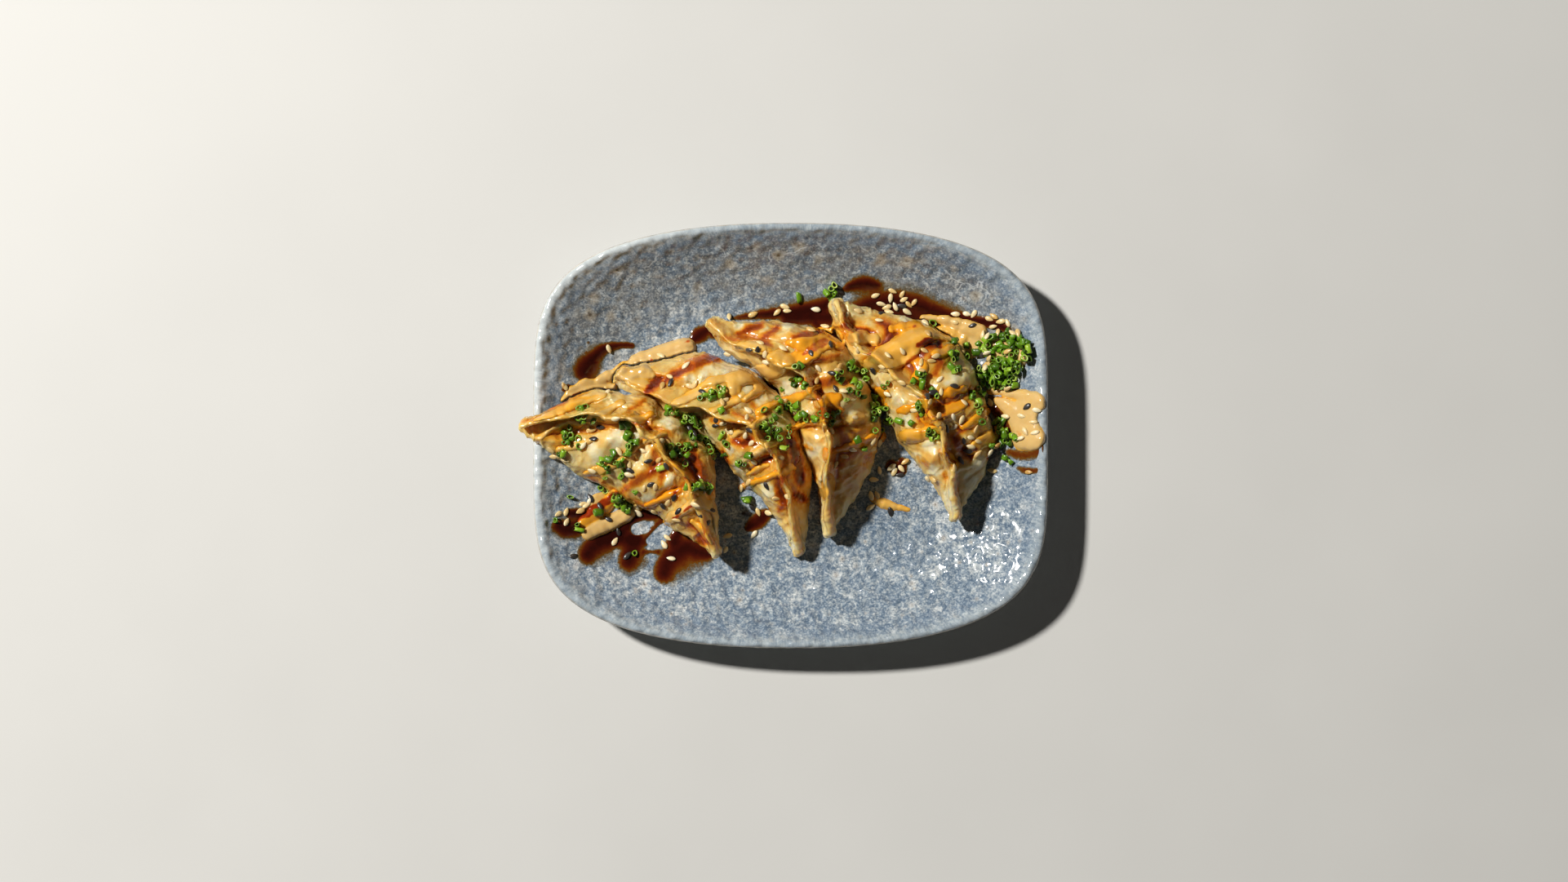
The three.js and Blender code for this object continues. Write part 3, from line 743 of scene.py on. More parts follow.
    bm.to_mesh(ob.data)
    bm.free()
    return ob, V, F


# -------------------------------------------------------------- height picture
STEP = 0.35
GX = np.arange(PCX - 92.0, PCX + 88.0, STEP)
GY = np.arange(PCY - 73.0, PCY + 73.0, STEP)
XX, YY = np.meshgrid(GX, GY)


def blur(A, sigma):
    r = int(math.ceil(3 * sigma))
    k = np.exp(-0.5 * (np.arange(-r, r + 1) / sigma) ** 2)
    k /= k.sum()
    B = np.pad(A, ((r, r), (0, 0)), mode="edge")
    B = sum(k[i] * B[i : i + A.shape[0]] for i in range(2 * r + 1))
    B = np.pad(B, ((0, 0), (r, r)), mode="edge")
    return sum(k[i] * B[:, i : i + A.shape[1]] for i in range(2 * r + 1))


def widen(A, r, fn=np.maximum):
    out = A.copy()
    for dy in range(-r, r + 1):
        for dx in range(-r, r + 1):
            if dx * dx + dy * dy <= r * r + 1:
                out = fn(out, np.roll(np.roll(A, dy, 0), dx, 1))
    return out


def height_map(parts):
    """Top surface over the grid, and which part it is (0 plate, 1.. dumplings)."""
    verts, tris, off = [], [], 0
    for V, F in parts:
        verts.append(V)
        tris.append(np.vstack([F[:, [0, 1, 2]], F[:, [0, 2, 3]]]) + off)
        off += len(V)
    tree = BVHTree.FromPolygons(np.vstack(verts).tolist(), np.vstack(tris).tolist(), epsilon=0.0)
    lim = np.cumsum([0] + [2 * len(F) for _, F in parts])
    H = dish_height(share_of(XX, YY))
    sh = share_of(XX, YY)
    H = np.where(sh > 1.0, -20.0, H)
    ids = np.zeros(H.shape, int)
    down = Vector((0, 0, -1))
    # only near the dumplings
    boxes = [(V[:, 0].min(), V[:, 0].max(), V[:, 1].min(), V[:, 1].max()) for V, _ in parts]
    near = np.zeros(H.shape, bool)
    for b in boxes:
        near |= (XX > b[0]) & (XX < b[1]) & (YY > b[2]) & (YY < b[3])
    ray = tree.ray_cast
    for i, j in zip(*np.nonzero(near)):
        hit = ray(Vector((XX[i, j], YY[i, j], 80.0)), down)
        if hit[0] is not None and hit[0].z > H[i, j]:
            H[i, j] = hit[0].z
            ids[i, j] = np.searchsorted(lim, hit[2], side="right")
    return H, ids


def sample(A, x, y):
    fx = np.clip((x - GX[0]) / STEP, 0, len(GX) - 1.001)
    fy = np.clip((y - GY[0]) / STEP, 0, len(GY) - 1.001)
    i, j = np.floor(fy).astype(int), np.floor(fx).astype(int)
    u, v = fx - j, fy - i
    return (A[i, j] * (1 - u) * (1 - v) + A[i, j + 1] * u * (1 - v) + A[i + 1, j] * (1 - u) * v + A[i + 1, j + 1] * u * v)


def drop_point(A, px, py, z=22.0):
    """Row-frame x, y, z where a picture point meets the height picture."""
    for _ in range(4):
        x, y = world_xy(px, py, z)
        z = float(sample(A, x, y))
        z = max(z, 4.0)
    x, y = world_xy(px, py, z)
    return float(x), float(y), z


# --------------------------------------------------------------------- sauces
def pour(strokes, H, hmax, power=0.6, soft=0.5, flat=0.75, grow=0.0, uneven=0.0, skirt=0.0):
    """Thickness of a poured sauce over the grid, with one blended mark per stroke."""
    T = np.full(H.shape, -9.0)
    wsum = np.zeros(H.shape)
    mark = np.zeros(H.shape)
    done = []
    for st in strokes:
        win, tone, pts = st[0], st[1], st[2]
        fac = st[3] if len(st) > 3 else 1.0
        s = WIN[win][2]
        rows = []
        for p in pts:
            x, y = wpt(win, p[0], p[1])
            X, Y, Z = drop_point(H_view, x, y)
            rows.append((X, Y, p[2] / s * MM_PX))
        if len(rows) == 2:
            rows.insert(1, tuple((u + v) / 2 for u, v in zip(rows[0], rows[1])))
        P = spline(rows) if len(rows) > 1 else np.array(rows)
        if uneven:
            thin = sstep(3.2, 1.2, P[:, 2])
            beads = gnoise(P * [1, 1, 0] + [0, 0, 7.0 * len(done)], 2.6, 903) + 0.5 * gnoise(P * [1, 1, 0], 1.2, 904)
            P[:, 2] *= 1 + uneven * (0.12 + 0.88 * thin) * beads
        done.append(win)
        m = P[:, 2].max() + 3.0
        j0, j1 = np.searchsorted(GX, [P[:, 0].min() - m, P[:, 0].max() + m])
        i0, i1 = np.searchsorted(GY, [P[:, 1].min() - m, P[:, 1].max() + m])
        if j1 <= j0 or i1 <= i0:
            continue
        xs, ys = XX[i0:i1, j0:j1], YY[i0:i1, j0:j1]
        w3 = np.stack([xs, ys, np.zeros_like(xs)], -1)
        wob = 0.22 * gnoise(w3, 3.2, 901) + 0.12 * gnoise(w3, 1.3, 902)
        dist, rad, _, _ = seg_field(xs, ys, P)
        dist = dist + wob * np.minimum(rad * 0.5, 1.0) - grow
        hh = np.minimum(rad * flat, hmax) * fac
        x = np.clip(dist / rad, 0, 1)
        small = sstep(2.2, 1.0, rad)
        t = np.where(dist < rad, hh * (1 - x * x) ** (power + 0.35 * small * (skirt > 0)), 0.0)
        edge = rad + skirt * (0.35 + 0.75 * sstep(-0.4, 0.5, gnoise(w3, 4.0, 905)))
        t = t + np.where(dist < edge, 0.14 * (skirt > 0) * sstep(1.0, 0.55, dist / edge), -(dist - edge) * 1.4)
        old = T[i0:i1, j0:j1]
        k = soft
        h = np.clip(0.5 + 0.5 * (t - old) / k, 0, 1)
        T[i0:i1, j0:j1] = old * (1 - h) + t * h + k * h * (1 - h)
        w = np.exp(np.clip(t, -2, 3) / 0.35)
        wsum[i0:i1, j0:j1] += w
        mark[i0:i1, j0:j1] += w * tone
    return T, mark / np.maximum(wsum, 1e-9)


def sauce_sheet(name, T, Zb, Hs, attrs, sink=0.5, start=0.0, full=0.35, relax=2):
    """A sheet over the grid that dips under the surface where the sauce ends."""
    w = sstep(start, full, T)
    top = (Hs - sink) * (1 - w) + (Zb + np.maximum(T, 0)) * w
    keep = T > -0.55
    idx = -np.ones(T.shape, int)
    cell = keep[:-1, :-1] & keep[:-1, 1:] & keep[1:, 1:] & keep[1:, :-1]
    used = np.zeros(T.shape, bool)
    used[:-1, :-1] |= cell
    used[:-1, 1:] |= cell
    used[1:, 1:] |= cell
    used[1:, :-1] |= cell
    idx[used] = np.arange(used.sum())
    V = np.stack([XX[used], YY[used], top[used]], 1)
    F = np.stack([idx[:-1, :-1][cell], idx[:-1, 1:][cell], idx[1:, 1:][cell], idx[1:, :-1][cell]], 1)
    # relax the heights and places a little so the rims lose the grid's steps
    n = len(V)
    E = np.vstack([F[:, [0, 1]], F[:, [1, 2]], F[:, [2, 3]], F[:, [3, 0]]])
    cnt = np.zeros(n)
    np.add.at(cnt, E[:, 0], 1)
    np.add.at(cnt, E[:, 1], 1)
    for _ in range(relax):
        S = np.zeros_like(V)
        np.add.at(S, E[:, 0], V[E[:, 1]])
        np.add.at(S, E[:, 1], V[E[:, 0]])
        V = V * 0.5 + 0.5 * S / cnt[:, None]
    out = {k: v[used] for k, v in attrs.items()}
    return V, F, out


MAYO = [
    # on the plate
    ("q", 0.0, [(392, 480, 22), (432, 452, 42), (525, 410, 48), (620, 362, 42), (695, 320, 30)]),
    ("q", 0.62, [(372, 408, 26), (440, 355, 40), (510, 300, 44), (565, 235, 34)], 0.65),
    ("q", 0.05, [(410, 300, 22), (455, 262, 26), (490, 235, 22)], 0.7),
    ("q", 0.05, [(375, 392, 14), (430, 340, 10), (480, 290, 10)], 0.8),
    ("v", 0.0, [(560, 440, 26), (610, 410, 30), (660, 390, 38), (715, 380, 34)]),
    ("v", 0.0, [(735, 345, 30), (760, 325, 34), (800, 320, 20)], 1.2),
    ("v", 0.0, [(735, 410, 20), (800, 405, 22), (850, 380, 18), (890, 350, 30), (930, 355, 24)], 1.2),
    ("v", 0.0, [(815, 300, 36), (880, 275, 50), (980, 250, 62), (1090, 215, 64), (1190, 180, 62), (1240, 190, 40)], 1.2),
    ("u", 0.05, [(832, 205, 8), (880, 210, 12), (940, 222, 20), (1000, 245, 28), (1050, 268, 34)]),
    ("u", 0.15, [(845, 262, 14), (900, 257, 12), (950, 266, 18), (985, 290, 26)]),
    ("r", 0.0, [(215, 290, 30), (270, 330, 52), (300, 260, 56)], 0.7),
    ("r", 0.0, [(300, 310, 60), (400, 300, 60), (500, 340, 66), (590, 380, 60)], 0.7),
    ("r", 0.0, [(430, 430, 60), (380, 440, 30)], 0.7),
    ("r", 0.0, [(400, 598, 16), (470, 608, 22), (560, 622, 32), (640, 640, 40), (700, 662, 56), (722, 690, 52)], 0.75),
    ("r", 0.0, [(440, 660, 16), (500, 690, 34), (560, 740, 56), (600, 800, 70), (630, 880, 74), (625, 925, 70)], 0.75),
    ("r", 0.0, [(640, 720, 80), (664, 800, 56), (680, 860, 56)], 0.75),
    ("r", 0.0, [(630, 935, 62), (690, 938, 62), (722, 905, 48)], 0.85),
    ("d", 0.25, [(315, 1285, 14), (360, 1300, 26), (420, 1320, 26), (480, 1335, 20), (540, 1348, 14)], 0.9),
    # first dumpling
    ("a", 0.05, [(345, 190, 26), (400, 150, 42), (500, 130, 44), (600, 128, 40), (650, 120, 26)], 0.5),
    ("a", 0.1, [(430, 235, 12), (520, 195, 18), (610, 165, 18)], 0.6),
    ("p", 0.38, [(638, 518, 2.6), (647, 515, 4.0), (662, 512, 4.8), (682, 505, 4.8), (700, 498, 4.4), (713, 492, 3.0)], 1.1),
    ("p", 0.10, [(640, 533, 2.2), (650, 538, 2.8), (661, 537, 2.8), (673, 528, 2.8), (690, 520, 2.6), (708, 518, 2.2)], 0.8),
    ("p", 0.05, [(697, 488, 5.0), (706, 478, 6.5), (718, 472, 7.0), (733, 475, 6.5), (748, 476, 5.0)], 0.5),
    ("p", 0.15, [(723, 511, 1.8), (734, 507, 2.3), (747, 502, 2.4), (757, 496, 2.3), (764, 495, 1.8)], 0.9),
    ("p", 0.15, [(770, 515, 3.0), (779, 514, 3.9), (788, 513, 3.2)], 0.9),
    ("p", 0.65, [(791, 510, 3.0), (797, 508, 4.4)], 1.0),
    ("a", 0.1, [(515, 300, 12), (570, 292, 14), (620, 275, 13), (660, 240, 12), (720, 215, 11)], 0.9),
    ("a", 0.1, [(420, 358, 12), (520, 332, 14), (630, 322, 16), (740, 325, 16), (850, 330, 17)], 0.7),
    ("a", 0.7, [(895, 300, 16), (930, 290, 20)], 0.7),
    ("a", 0.15, [(300, 530, 18), (380, 515, 24), (470, 485, 22), (530, 455, 14)], 0.7),
    ("a", 0.15, [(830, 505, 10), (920, 460, 14), (1000, 430, 13), (1025, 425, 8)], 0.9),
    ("a", 0.3, [(480, 695, 18), (520, 680, 30), (600, 660, 30), (660, 630, 24)], 0.6),
    ("a", 0.2, [(640, 640, 12), (740, 590, 14), (800, 540, 14), (830, 510, 10)], 0.5),
    ("a", 0.2, [(955, 500, 12), (1000, 560, 18), (1060, 620, 16)], 0.5),
    ("a", 0.5, [(1070, 640, 18), (1120, 680, 28), (1170, 700, 26), (1210, 750, 20)], 0.6),
    ("a", 0.7, [(885, 915, 14), (950, 885, 20), (1040, 840, 20), (1110, 800, 14)], 0.9),
    ("a", 0.15, [(1040, 1010, 32), (1090, 970, 36), (1160, 930, 36), (1240, 890, 36), (1320, 905, 30)], 0.9),
    ("a", 0.2, [(1170, 850, 16), (1230, 800, 20), (1290, 860, 22)], 0.5),
    ("a", 0.2, [(1200, 1010, 16), (1270, 1080, 20), (1330, 1160, 16)], 0.3),
    # second dumpling
    ("p", 0.12, [(757, 452, 3.2), (767, 450, 5.0), (779, 453, 6.2), (790, 457, 6.6), (799, 460, 4.6)], 0.9),
    ("p", 0.18, [(763, 463, 3.2), (775, 467, 4.6), (788, 470, 4.6), (797, 474, 3.4)], 0.7),
    ("p", 0.15, [(823, 497, 3.2), (840, 489, 4.2), (856, 482, 3.4)], 0.9),
    ("p", 0.20, [(873, 503, 2.6), (887, 497, 3.7), (903, 490, 3.0)], 0.9),
    ("p", 0.20, [(896, 463, 7.0), (898, 481, 4.6)], 0.8),
    ("p", 0.20, [(938, 458, 7.5), (930, 476, 5.0), (915, 488, 3.4)], 0.8),
    ("b", 0.2, [(95, 180, 18), (120, 165, 22), (170, 200, 22), (240, 195, 22)], 0.8),
    ("b", 0.1, [(100, 215, 20), (180, 225, 24), (260, 215, 16)], 0.5),
    ("b", 0.2, [(560, 300, 12), (620, 270, 22), (700, 250, 30), (780, 240, 40), (860, 230, 52), (950, 215, 56), (1050, 195, 40)], 0.85),
    ("b", 0.2, [(780, 290, 26), (800, 320, 18)], 0.5),
    ("b", 0.3, [(930, 260, 24), (920, 310, 22), (880, 350, 14)], 0.5),
    ("b", 0.05, [(390, 408, 12), (450, 385, 18), (550, 340, 18), (640, 310, 10)], 0.9),
    ("b", 0.05, [(480, 340, 8), (560, 300, 10)], 0.5),
    ("b", 0.2, [(640, 450, 14), (700, 420, 18), (800, 380, 14)], 0.7),
    ("b", 0.2, [(770, 595, 14), (820, 565, 22), (900, 535, 18), (960, 490, 14)], 0.8),
    ("b", 0.5, [(920, 450, 16), (980, 415, 20), (1020, 400, 20), (1090, 375, 18), (1170, 355, 22), (1230, 350, 18)], 0.8),
    ("b", 0.1, [(880, 722, 16), (930, 695, 24), (975, 670, 14)], 0.8),
    ("b", 0.3, [(860, 835, 14), (920, 800, 20), (980, 775, 12)], 0.8),
    ("b", 0.55, [(812, 912, 12), (880, 890, 18), (960, 860, 18), (1035, 825, 12)], 0.9),
    ("b", 0.25, [(1070, 820, 12), (1110, 795, 22), (1140, 790, 12)], 0.8),
    ("b", 0.1, [(960, 650, 14), (1020, 640, 18)], 0.6),
    # third dumpling
    ("c", 0.1, [(240, 245, 24), (330, 240, 30), (400, 260, 24)], 0.35),
    ("c", 0.35, [(440, 320, 32), (500, 310, 43), (560, 335, 37)], 1.0),
    ("c", 0.52, [(745, 150, 26), (800, 165, 39), (850, 205, 43), (870, 240, 24)], 0.8),
    ("c", 0.56, [(560, 230, 24), (640, 230, 43), (720, 240, 54), (780, 220, 54)], 0.45),
    ("c", 0.6, [(600, 310, 24), (650, 325, 28), (700, 300, 32), (740, 280, 22)], 0.7),
    ("c", 0.7, [(545, 590, 13), (620, 560, 19), (680, 520, 17), (740, 490, 13)], 0.6),
    ("c", 0.8, [(750, 600, 22), (820, 600, 28), (880, 640, 17)], 0.45),
    ("c", 0.7, [(780, 570, 28), (860, 560, 28)], 0.35),
    ("c", 0.5, [(560, 762, 11), (630, 732, 14), (720, 710, 13), (800, 700, 15)], 0.8),
    ("c", 0.7, [(780, 890, 15), (800, 930, 19), (830, 900, 15)], 0.4),
    ("c", 0.65, [(870, 880, 15), (950, 855, 28), (1040, 820, 32), (1120, 800, 30)], 0.8),
    ("c", 0.3, [(800, 1050, 24), (805, 1110, 28), (795, 1150, 28)], 0.4),
    ("c", 0.35, [(755, 1145, 22), (800, 1152, 22)], 1.1),
    ("c", 0.6, [(880, 690, 11), (900, 715, 11)], 0.6),
    # fourth dumpling
    ("d", 0.19, [(200, 300, 34), (260, 295, 39), (330, 305, 32)], 0.8),
    ("d", 0.34, [(300, 450, 37), (370, 420, 61), (460, 370, 66), (550, 320, 71), (640, 280, 56), (730, 265, 44), (800, 285, 44), (825, 310, 24)], 0.85),
    ("d", 0.34, [(400, 440, 49), (490, 430, 44), (560, 370, 49)], 0.7),
    ("d", 0.64, [(440, 240, 22), (520, 228, 27), (600, 212, 27)], 0.7),
    ("d", 0.64, [(580, 430, 32), (620, 480, 41), (600, 540, 37)], 0.35),
    ("d", 0.54, [(700, 390, 24), (770, 380, 32), (810, 350, 20)], 0.6),
    ("d", 0.64, [(355, 620, 22), (400, 640, 24)], 0.7),
    ("d", 0.59, [(480, 745, 20), (560, 725, 27), (640, 700, 29), (720, 690, 24)], 0.45),
    ("d", 0.64, [(640, 790, 27), (720, 760, 32), (800, 730, 32), (880, 700, 27)], 0.45),
    ("d", 0.69, [(720, 650, 22), (800, 630, 29), (880, 610, 24)], 0.45),
    ("d", 0.44, [(500, 885, 22), (530, 900, 39), (600, 895, 39), (690, 870, 34), (730, 850, 20)], 1.0),
    ("d", 0.54, [(880, 840, 17), (940, 810, 29), (1020, 750, 27)], 0.5),
    ("d", 0.39, [(920, 985, 24), (980, 940, 39), (1050, 900, 41), (1090, 860, 32)], 0.95),
    ("d", 0.64, [(760, 990, 17), (800, 1040, 29), (830, 1070, 20)], 0.5),
    ("d", 0.54, [(370, 700, 15), (400, 720, 12)], 0.5),
]

# Brown sauce lying over the pale one: window, strength, points with radius.
STREAKS = [
    ("a", 0.75, [(430, 990, 30), (520, 940, 34), (620, 880, 34), (690, 830, 26)]),
    ("a", 0.8, [(60, 338, 12), (110, 330, 14)]), ("a", 0.75, [(1080, 990, 12), (1150, 940, 16), (1210, 895, 12)]),
    ("a", 0.75, [(350, 200, 14), (400, 165, 12), (440, 140, 10)]), ("a", 0.7, [(1110, 800, 12), (1060, 850, 12)]),
    ("b", 0.85, [(215, 350, 16), (260, 300, 26), (300, 260, 24)]), ("b", 0.6, [(100, 185, 10), (150, 200, 8)]),
    ("l", 0.6, [(760, 395, 18)]), ("l", 0.5, [(458, 540, 14)]), ("l", 0.5, [(960, 290, 8), (1010, 265, 14)]),
    ("c", 0.55, [(640, 300, 16), (700, 260, 30), (780, 220, 34)]), ("c", 0.7, [(680, 170, 14), (760, 155, 14)]),
    ("c", 0.4, [(930, 870, 14), (1010, 850, 14)]), ("c", 0.5, [(780, 960, 16), (800, 1060, 14)]),
    ("d", 0.85, [(600, 340, 20), (680, 325, 34), (730, 340, 24)]), ("d", 0.6, [(530, 450, 16), (600, 400, 20)]),
    ("d", 0.5, [(580, 480, 26), (620, 540, 24)]), ("d", 0.55, [(700, 700, 24), (800, 680, 24), (880, 640, 20)]),
    ("d", 0.5, [(620, 800, 14), (760, 760, 16)]), ("d", 0.45, [(930, 990, 16), (990, 960, 14)]),
    ("d", 0.35, [(540, 885, 8), (640, 865, 8)]), ("d", 0.7, [(760, 1000, 14), (820, 1060, 16)]),
    ("d", 0.5, [(450, 250, 10), (580, 225, 10)]), ("c", 0.35, [(480, 330, 12), (540, 340, 12)]),
    ("r", 0.6, [(420, 640, 8), (470, 640, 12), (530, 655, 8)]), ("r", 0.35, [(560, 850, 14), (600, 900, 14)]),
    ("b", 0.3, [(1150, 370, 14), (1220, 350, 12)]), ("b", 0.5, [(860, 850, 10), (930, 810, 10)]),
]

# Dark glaze on the dish.
GLAZE = [
    ("u", 0, [(90, 208, 8), (170, 197, 15), (260, 190, 25), (350, 180, 34), (430, 167, 38), (462, 148, 24)]),
    ("u", 0, [(300, 210, 34), (400, 205, 44), (470, 205, 44)]),
    ("u", 0, [(515, 180, 24), (580, 170, 34), (650, 152, 48), (720, 148, 52), (800, 158, 50), (860, 180, 44), (930, 200, 34),
              (1010, 216, 28), (1080, 224, 26), (1130, 236, 24), (1165, 252, 18)]),
    ("u", 0, [(560, 205, 44), (700, 200, 54), (850, 225, 50), (950, 245, 44), (1010, 270, 34)]),
    ("u", 0, [(520, 97, 9), (560, 80, 24), (600, 73, 33), (640, 78, 27), (655, 80, 18)]),
    ("r", 0, [(60, 170, 30), (120, 175, 40), (190, 220, 36)]),
    ("l", 0, [(310, 470, 88), (340, 420, 84), (370, 380, 60), (420, 330, 44), (480, 305, 34), (560, 292, 28), (630, 295, 26)]),
    ("l", 0, [(1050, 250, 44), (1090, 220, 66), (1140, 175, 40), (1170, 200, 50)]),
    ("l", 0, [(600, 88, 14)], 0.8), ("l", 0, [(333, 275, 15)], 0.8), ("l", 0, [(1045, 124, 15)], 0.8),
    ("l", 0, [(175, 590, 26), (200, 580, 30), (240, 585, 20)]),
    ("q", 0, [(228, 425, 50), (260, 440, 58), (330, 430, 62), (400, 375, 62), (470, 310, 58), (540, 262, 44), (600, 230, 34)]),
    ("q", 0, [(300, 345, 40), (340, 345, 44)]),
    ("q", 0, [(398, 598, 66), (430, 555, 78), (500, 510, 80), (590, 460, 64), (680, 410, 56)]),
    ("q", 0, [(655, 635, 68), (662, 595, 80), (680, 535, 88), (690, 490, 70)]),
    ("q", 0, [(480, 500, 60), (600, 500, 70), (700, 510, 60)]),
    ("q", 0, [(868, 708, 74), (885, 655, 84), (935, 600, 100), (1005, 555, 100), (1080, 580, 72), (1130, 592, 48), (1165, 602, 26)]),
    ("q", 0, [(930, 520, 60), (960, 455, 44), (1010, 440, 30)]),
    ("q", 0, [(745, 582, 22), (790, 582, 15), (830, 582, 22)]),
    ("q", 0, [(752, 520, 26), (780, 462, 22), (826, 412, 22), (860, 385, 26)], 0.8),
    ("q", 0, [(640, 395, 40), (720, 360, 44), (800, 345, 56), (850, 330, 50)]),
    ("b", 0, [(860, 1160, 30), (900, 1130, 60), (950, 1090, 56), (980, 1070, 30)]),
    ("p", 0, [(921, 445, 5), (938, 462, 6.5), (958, 489, 6)]), ("p", 0, [(999, 397, 5), (1016, 408, 6.5), (1033, 421, 6)]),
    ("p", 0, [(1236, 554, 6), (1250, 558, 8), (1263, 557, 8), (1272, 553, 7), (1278, 547, 5)], 0.55),
    ("p", 0, [(1248, 574, 3.5), (1257, 577, 5.5), (1268, 577, 4.5), (1272, 575, 3)], 0.7),
    ("u", 0, [(560, 165, 44), (620, 140, 56), (700, 128, 60), (800, 140, 60), (880, 165, 52), (960, 190, 44)], 0.34),
    ("q", 0, [(240, 440, 70), (330, 450, 74)], 0.34), ("q", 0, [(430, 590, 92), (500, 560, 90)], 0.34),
    ("q", 0, [(660, 650, 88), (720, 640, 60)], 0.34), ("q", 0, [(900, 700, 100), (1000, 640, 110), (1120, 620, 60)], 0.34),
    ("u", 0, [(110, 205, 16), (260, 185, 40), (400, 165, 50), (470, 140, 32)], 0.34),
    ("u", 0, [(540, 90, 22), (600, 74, 44), (650, 78, 36)], 0.34), ("l", 0, [(330, 430, 104), (400, 340, 66), (500, 300, 46)], 0.34),
    ("d", 0, [(440, 1080, 50), (490, 1110, 46), (500, 1060, 40)]),
    ("r", 0, [(400, 640, 20), (440, 650, 20), (530, 655, 10)], 0.8),
    ("r", 0, [(430, 720, 40), (470, 780, 40), (520, 860, 36)], 0.8),
]
GLAZE_HOLES = [
    ("q", [(700, 440, 36), (742, 432, 38)]),
    ("q", [(780, 515, 20), (822, 500, 40), (868, 452, 40), (900, 428, 26)]),
    ("q", [(560, 332, 18), (600, 298, 24)]),
]

# Sesame seeds: x, y and the angle of the long axis (degrees, clockwise from +x).
WHITE = {
    "a": [(340, 104, 55), (628, 140, -60), (680, 322, -15), (515, 398, -10), (465, 503, -50), (268, 578, 0), (250, 535, 50),
          (340, 600, 20), (527, 675, 20), (705, 540, 60), (865, 537, 20), (775, 632, 85), (772, 698, 20), (1035, 473, 35),
          (990, 470, -20), (972, 600, -45), (950, 780, -80), (875, 790, -80), (1035, 888, -70), (1215, 900, 25),
          (1095, 1005, 10), (945, 948, 30), (840, 960, 40), (350, 950, -75), (300, 960, -30), (352, 1018, -60),
          (508, 872, -60), (462, 895, -20), (450, 940, -30), (485, 905, -30), (677, 1150, -60), (1030, 1120, 40),
          (1012, 1170, 60), (1060, 1262, 15)],
    "b": [(733, 100, 10), (378, 232, 20), (333, 285, -75), (325, 104, 25), (475, 165, -40), (720, 375, -30), (850, 482, -80),
          (745, 570, 30), (703, 522, -20), (840, 597, -75), (878, 640, -40), (893, 757, 50), (1057, 728, 10),
          (1025, 980, 10), (1097, 968, 35), (860, 880, -50), (815, 915, -80), (918, 1060, 75), (980, 1068, 15),
          (895, 1198, -55), (735, 1208, -15), (722, 1293, -60), (1080, 385, -30), (500, 290, 20), (530, 280, -60),
          (860, 440, 40), (700, 390, 70)],
    "c": [(192, 65, 80), (335, 52, -20), (487, 38, -45), (545, 30, 0), (725, 22, 5), (780, 125, 20), (690, 143, 15),
          (383, 225, 20), (520, 258, 30), (410, 298, -70), (415, 348, 15), (737, 383, 50), (872, 370, -50), (855, 392, 0),
          (728, 460, -70), (965, 683, 0), (343, 957, 50), (510, 930, 0), (1075, 832, -60), (1113, 840, -80),
          (1073, 877, -15), (948, 882, 15), (900, 922, 20), (845, 972, -60), (1075, 1065, 0), (1113, 1010, 80),
          (1188, 985, -30), (1202, 1020, -60), (1062, 1165, 80), (1098, 1162, 70), (1055, 1235, -30), (890, 520, 10),
          (820, 765, 60)],
    "d": [(335, 38, -20), (430, 50, -85), (500, 30, -50), (510, 62, -25), (540, 90, 50), (575, 78, -50), (370, 88, 10),
          (460, 107, 60), (415, 138, 15), (440, 8, 20), (237, 130, 15), (165, 155, -60), (358, 187, 10), (530, 135, 30),
          (640, 200, 45), (830, 150, 5), (895, 148, 15), (658, 263, 60), (228, 380, 80), (412, 400, 50), (505, 380, 60),
          (635, 372, 30), (710, 407, -10), (680, 437, 5), (617, 447, -80), (375, 475, 20), (617, 495, 0), (730, 550, -50),
          (595, 645, 70), (672, 688, -60), (740, 628, -85), (408, 640, 30), (568, 742, 0), (725, 770, -60), (815, 780, 70),
          (867, 797, -70), (885, 692, 40), (818, 843, -30), (953, 857, -70), (922, 907, 10), (968, 930, 10),
          (923, 963, 10), (963, 1010, -40), (1040, 1000, -60), (822, 1097, 80), (688, 1163, 40), (652, 1160, 60),
          (522, 1053, -30), (495, 1095, 45), (437, 1088, -30), (452, 1115, -70), (1055, 1110, 10), (500, 572, 20),
          (410, 108, -20)],
    "r": [(293, 80, -60), (163, 137, 10), (392, 113, 10), (428, 98, 35), (475, 132, -20), (520, 145, 65), (418, 168, -10),
          (450, 205, -75), (550, 212, 40), (587, 205, 75), (350, 225, -80), (378, 232, -60), (515, 335, -30),
          (378, 345, -20), (392, 382, -55), (368, 442, -70), (515, 585, -20), (208, 322, 60), (450, 970, -40),
          (712, 730, 15), (608, 768, 15), (695, 810, 5), (505, 772, 10), (635, 870, 60), (705, 880, -10), (605, 918, -20),
          (658, 1148, 5), (403, 680, 70)],
    "t": [(230, 210, -20), (355, 178, 10), (480, 190, 5), (600, 212, -80)],
    "l": [(472, 315, 75), (178, 572, 55)],
}
